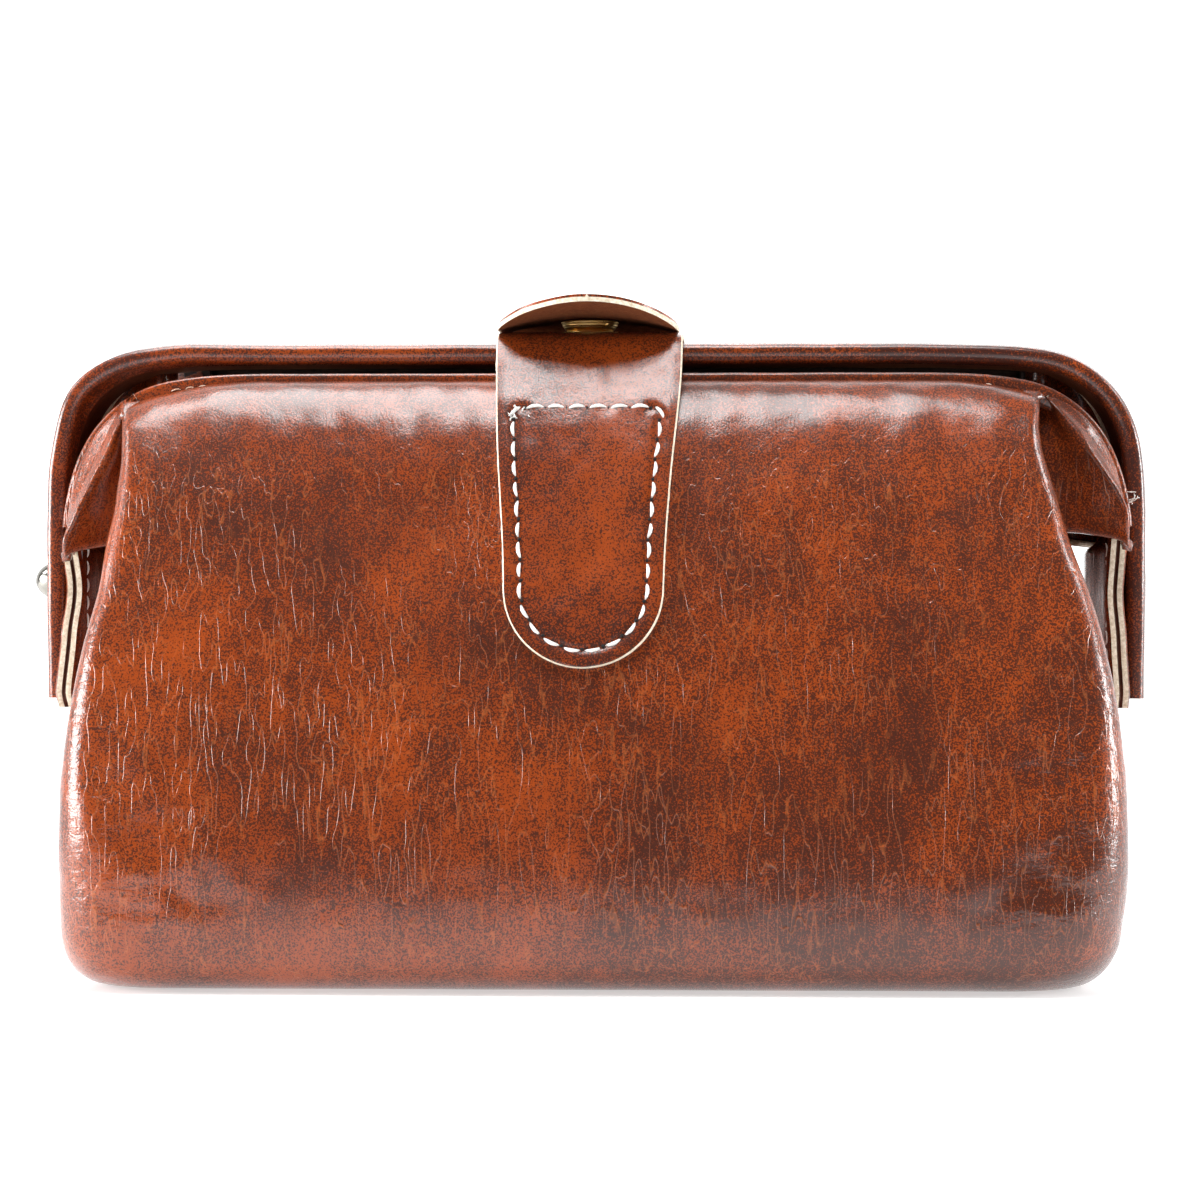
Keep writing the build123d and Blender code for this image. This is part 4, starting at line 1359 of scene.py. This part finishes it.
# %% Rim stitches
rim_model = thread_piece(2.3, 0.42)
rim_line, rim_out = hoop_line(FRONT_HOOP, 3.1)
RIM_FRONT = -16.55
BELOW_RIM = 1.15
FIRST_STITCH, LAST_STITCH = 21, 94  # between the tab and the hoop's corner
SUNK_LEFT, SUNK_RIGHT = 0.12, 0.6  # the share of stitches that sink out of sight
draw = random.Random(12)
rim_copies = []
for (x, z), (ox, oz) in zip(rim_line, rim_out):
    if abs(x) > LAST_STITCH or abs(x) < FIRST_STITCH or draw.random() < (SUNK_RIGHT if x > 0 else SUNK_LEFT):
        continue
    copy = copy_of(rim_model)
    place = Vector((x - ox * BELOW_RIM, RIM_FRONT, z - oz * BELOW_RIM)) * MM
    turn = Matrix.Rotation(math.atan2(ox, oz) + draw.uniform(-0.06, 0.06), 4, "Y")
    stretch = Matrix.Scale(draw.uniform(0.75, 1.1), 4, (1, 0, 0))
    copy.data.transform(Matrix.Translation(place) @ turn @ stretch)
    rim_copies.append(copy)
rim_thread = join(rim_copies, "front_rim_thread")
print("rim stitches:", len(rim_copies))
give(rim_thread, rim_white)
bpy.data.objects.remove(rim_model)
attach(rim_thread, "front_frame")

# %% [markdown]
# ## Loose thread ends
# The box stitch starts and ends at the tab's upper left corner, where a few cut ends stand up, and a wisp
# of backing fluff stands at the right ear. A particle system would scatter hairs, but so few are better
# placed one by one: each is a bent tube of 6 sides, 0.16 to 0.4 mm thick.


# %% Loose ends
def strand(name, points, width, material):
    """A thin round strand through points in millimetres."""
    line = through(points, np.linspace(0, 1, 5 * len(points)))
    rows = []
    for i, p in enumerate(line):
        ahead = line[min(i + 1, len(line) - 1)] - line[max(i - 1, 0)]
        ahead = Vector(ahead).normalized()
        side = ahead.orthogonal().normalized()
        other = ahead.cross(side)
        taper = 1 - 0.6 * smooth_step((i / len(line) - 0.8) / 0.2)
        ring = []
        for k in range(6):
            a = 2 * math.pi * k / 6
            off = (side * math.cos(a) + other * math.sin(a)) * width / 2 * taper
            ring.append(tuple(Vector(p) + off))
        rows.append(ring)
    made = mesh_from_rows(name, rows, around=True)
    give(made, material)
    return made


cx, cy, cz = tab_surface(*stitch_line[4])[0]
ends = []
draw = random.Random(5)
for k in range(9):
    sx, sz = cx + draw.uniform(-0.8, 2.6), cz + draw.uniform(-2.6, 0.7)
    dx, dz = draw.uniform(-1.7, 0.9), draw.uniform(-1.3, 1.5)
    ends.append(
        strand(
            f"end_{k}",
            [
                (sx, cy + 0.3, sz),
                (sx + dx * 0.3, cy - 0.35, sz + dz * 0.4),
                (sx + dx * 0.7 + draw.uniform(-0.5, 0.5), cy - 0.65, sz + dz * 0.7),
                (sx + dx, cy - 0.45 - draw.uniform(0, 0.5), sz + dz + draw.uniform(-0.5, 0.5)),
            ],
            draw.uniform(0.22, 0.40),
            white_thread,
        )
    )
loose_ends = join(ends, "tab_thread_ends")
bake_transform(loose_ends)

wisps = []
for k in range(7):
    sx, sz = 118.6 + draw.uniform(-0.4, 0.4), 107.2 + draw.uniform(-1.4, 1.4)
    dx, dz = draw.uniform(-0.2, 1.2), draw.uniform(-1.2, 1.8)
    wisps.append(
        strand(
            f"wisp_{k}",
            [
                (sx - 0.9, -15.6, sz),
                (sx + dx * 0.3, -16.9, sz + dz * 0.4),
                (sx + dx * 0.8, -17.3, sz + dz * 0.8),
                (sx + dx, -17.1, sz + dz + draw.uniform(-0.3, 0.3)),
            ],
            0.16,
            white_thread,
        )
    )
fluff = join(wisps, "right_cuff_fluff")
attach(fluff, "front_frame")
print("strands:", len(ends) + len(wisps))

# %% [markdown]
# ## Metal fittings
# The snap's pressed parts, the rivets' shanks, the back hoop's strip and the board have the right shapes in
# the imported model, so they stay and only get their finish. What catches the light is made anew: the rivets'
# domed caps, which a ball cut in half gives, and the snap's pressed ring, flange and lip, which are rings.

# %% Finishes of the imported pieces
FINISH = {
    "back_frame_bar": zinc_steel,
    "left_hinge_rivet": nickel_plate,
    "right_hinge_rivet": nickel_plate,
    "snap_post": gilt_brass,
    "snap_stud": gilt_brass,
    "snap_socket": gilt_brass,
    "snap_cap": gilt_brass,
    "base_board": grey_board,
}
for node_name, finish in FINISH.items():
    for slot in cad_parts[node_name].material_slots:
        slot.material = finish
print("finished:", len(FINISH))


# %% Rivet caps: a dome on the left and one set flatter on the right
CAP_RADIUS = 4.3
CAP_SEAT, RIVET_HEIGHT = 122.1, 89.0
for side, word, height in ((-1, "left", 5.4), (1, "right", 1.2)):
    bpy.ops.object.select_all(action="DESELECT")
    bpy.ops.mesh.primitive_uv_sphere_add(segments=48, ring_count=24, radius=CAP_RADIUS * MM)
    dome = bpy.context.object
    bpy.ops.object.mode_set(mode="EDIT")
    bpy.ops.mesh.select_all(action="SELECT")
    bpy.ops.mesh.bisect(plane_co=(0, 0, 0), plane_no=(1, 0, 0), use_fill=True, clear_inner=True)
    bpy.ops.object.mode_set(mode="OBJECT")
    seat = Matrix.Translation((side * CAP_SEAT * MM, 0, RIVET_HEIGHT * MM))
    dome.data.transform(seat @ Matrix.Diagonal((side * height / CAP_RADIUS, 1, 1, 1)))
    outward(dome)
    dome.name = f"{word}_rivet_dome"
    give(dome, nickel_plate)
    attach(dome, "bag_body")
    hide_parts(f"{word}_rivet_cap")
print("cap faces:", len(dome.data.polygons))


# %% Snap rings
SNAP_FORWARD = 3.0


def ring_piece(name, outer, tube, height, body):
    """A pressed ring of the snap, lying flat round its middle."""
    bpy.ops.object.select_all(action="DESELECT")
    bpy.ops.mesh.primitive_torus_add(
        major_segments=64, minor_segments=14, major_radius=outer * MM, minor_radius=tube * MM,
        location=(ACROSS * MM, -SNAP_FORWARD * MM, height * MM),
    )
    made = bpy.context.object
    bpy.ops.object.transform_apply(location=True, rotation=True, scale=True)
    made.name = name
    give(made, gilt_brass)
    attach(made, body)
    return made


rings = [
    ring_piece("snap_socket_ring", 4.9, 1.05, 146.1, "closure_strap_end"),
    ring_piece("snap_socket_flange", 6.2, 0.30, 146.9, "closure_strap_end"),
    ring_piece("snap_stud_ring", 4.9, 0.50, 144.7, "front_frame"),
]
print("snap rings:", len(rings))

# %% [markdown]
# ## Floor and backdrop
# White card under the case and a lit white sheet far behind it, as in a catalogue picture. The card gives a
# little light of its own, so that it stays white and lends the roll of the base its pale band. That light
# fades towards the camera, out of the picture, or the whole panel would mirror it.


# %% Floor and backdrop
def card(name, corners, glow, shade, fade=None):
    """A flat white card with a little light of its own, which may fade towards the camera."""
    mesh = bpy.data.meshes.new(name)
    mesh.from_pydata(corners, [], [(0, 1, 2, 3)])
    made = bpy.data.objects.new(name, mesh)
    bpy.context.collection.objects.link(made)
    finish, tree = new_material(name + "_card")
    light = glow
    if fade:
        near, far, dim = fade
        place = node(tree, "TexCoord", out="Object")
        depth = node(tree, "SeparateXYZ", out="Y", Vector=place)
        light = node(
            tree, "MapRange", {"interpolation_type": "SMOOTHSTEP"},
            Value=depth, From_Min=far, From_Max=near, To_Min=dim, To_Max=glow,
        )
    face = node(
        tree, "BsdfPrincipled", Base_Color=(shade, shade, shade, 1), Roughness=0.8,
        Emission_Color=(1, 1, 1, 1), Emission_Strength=light,
    )
    node(tree, "OutputMaterial", Surface=face)
    made.data.materials.append(finish)


SIDE, BACK, HIGH, LOW = 3, 1.3, 3, -0.2
FLOOR_FADE = (-0.35, -0.95, 0.06)  # where the light starts to fade, where it ends, and what is left of it
floor_corners = [(-SIDE, -SIDE, 0), (SIDE, -SIDE, 0), (SIDE, BACK, 0), (-SIDE, BACK, 0)]
backdrop_corners = [(-SIDE, BACK, LOW), (SIDE, BACK, LOW), (SIDE, BACK, HIGH), (-SIDE, BACK, HIGH)]
card("floor", floor_corners, 0.55, 0.6, FLOOR_FADE)
card("backdrop", backdrop_corners, 1.05, 0.8)
print("cards: floor and backdrop")
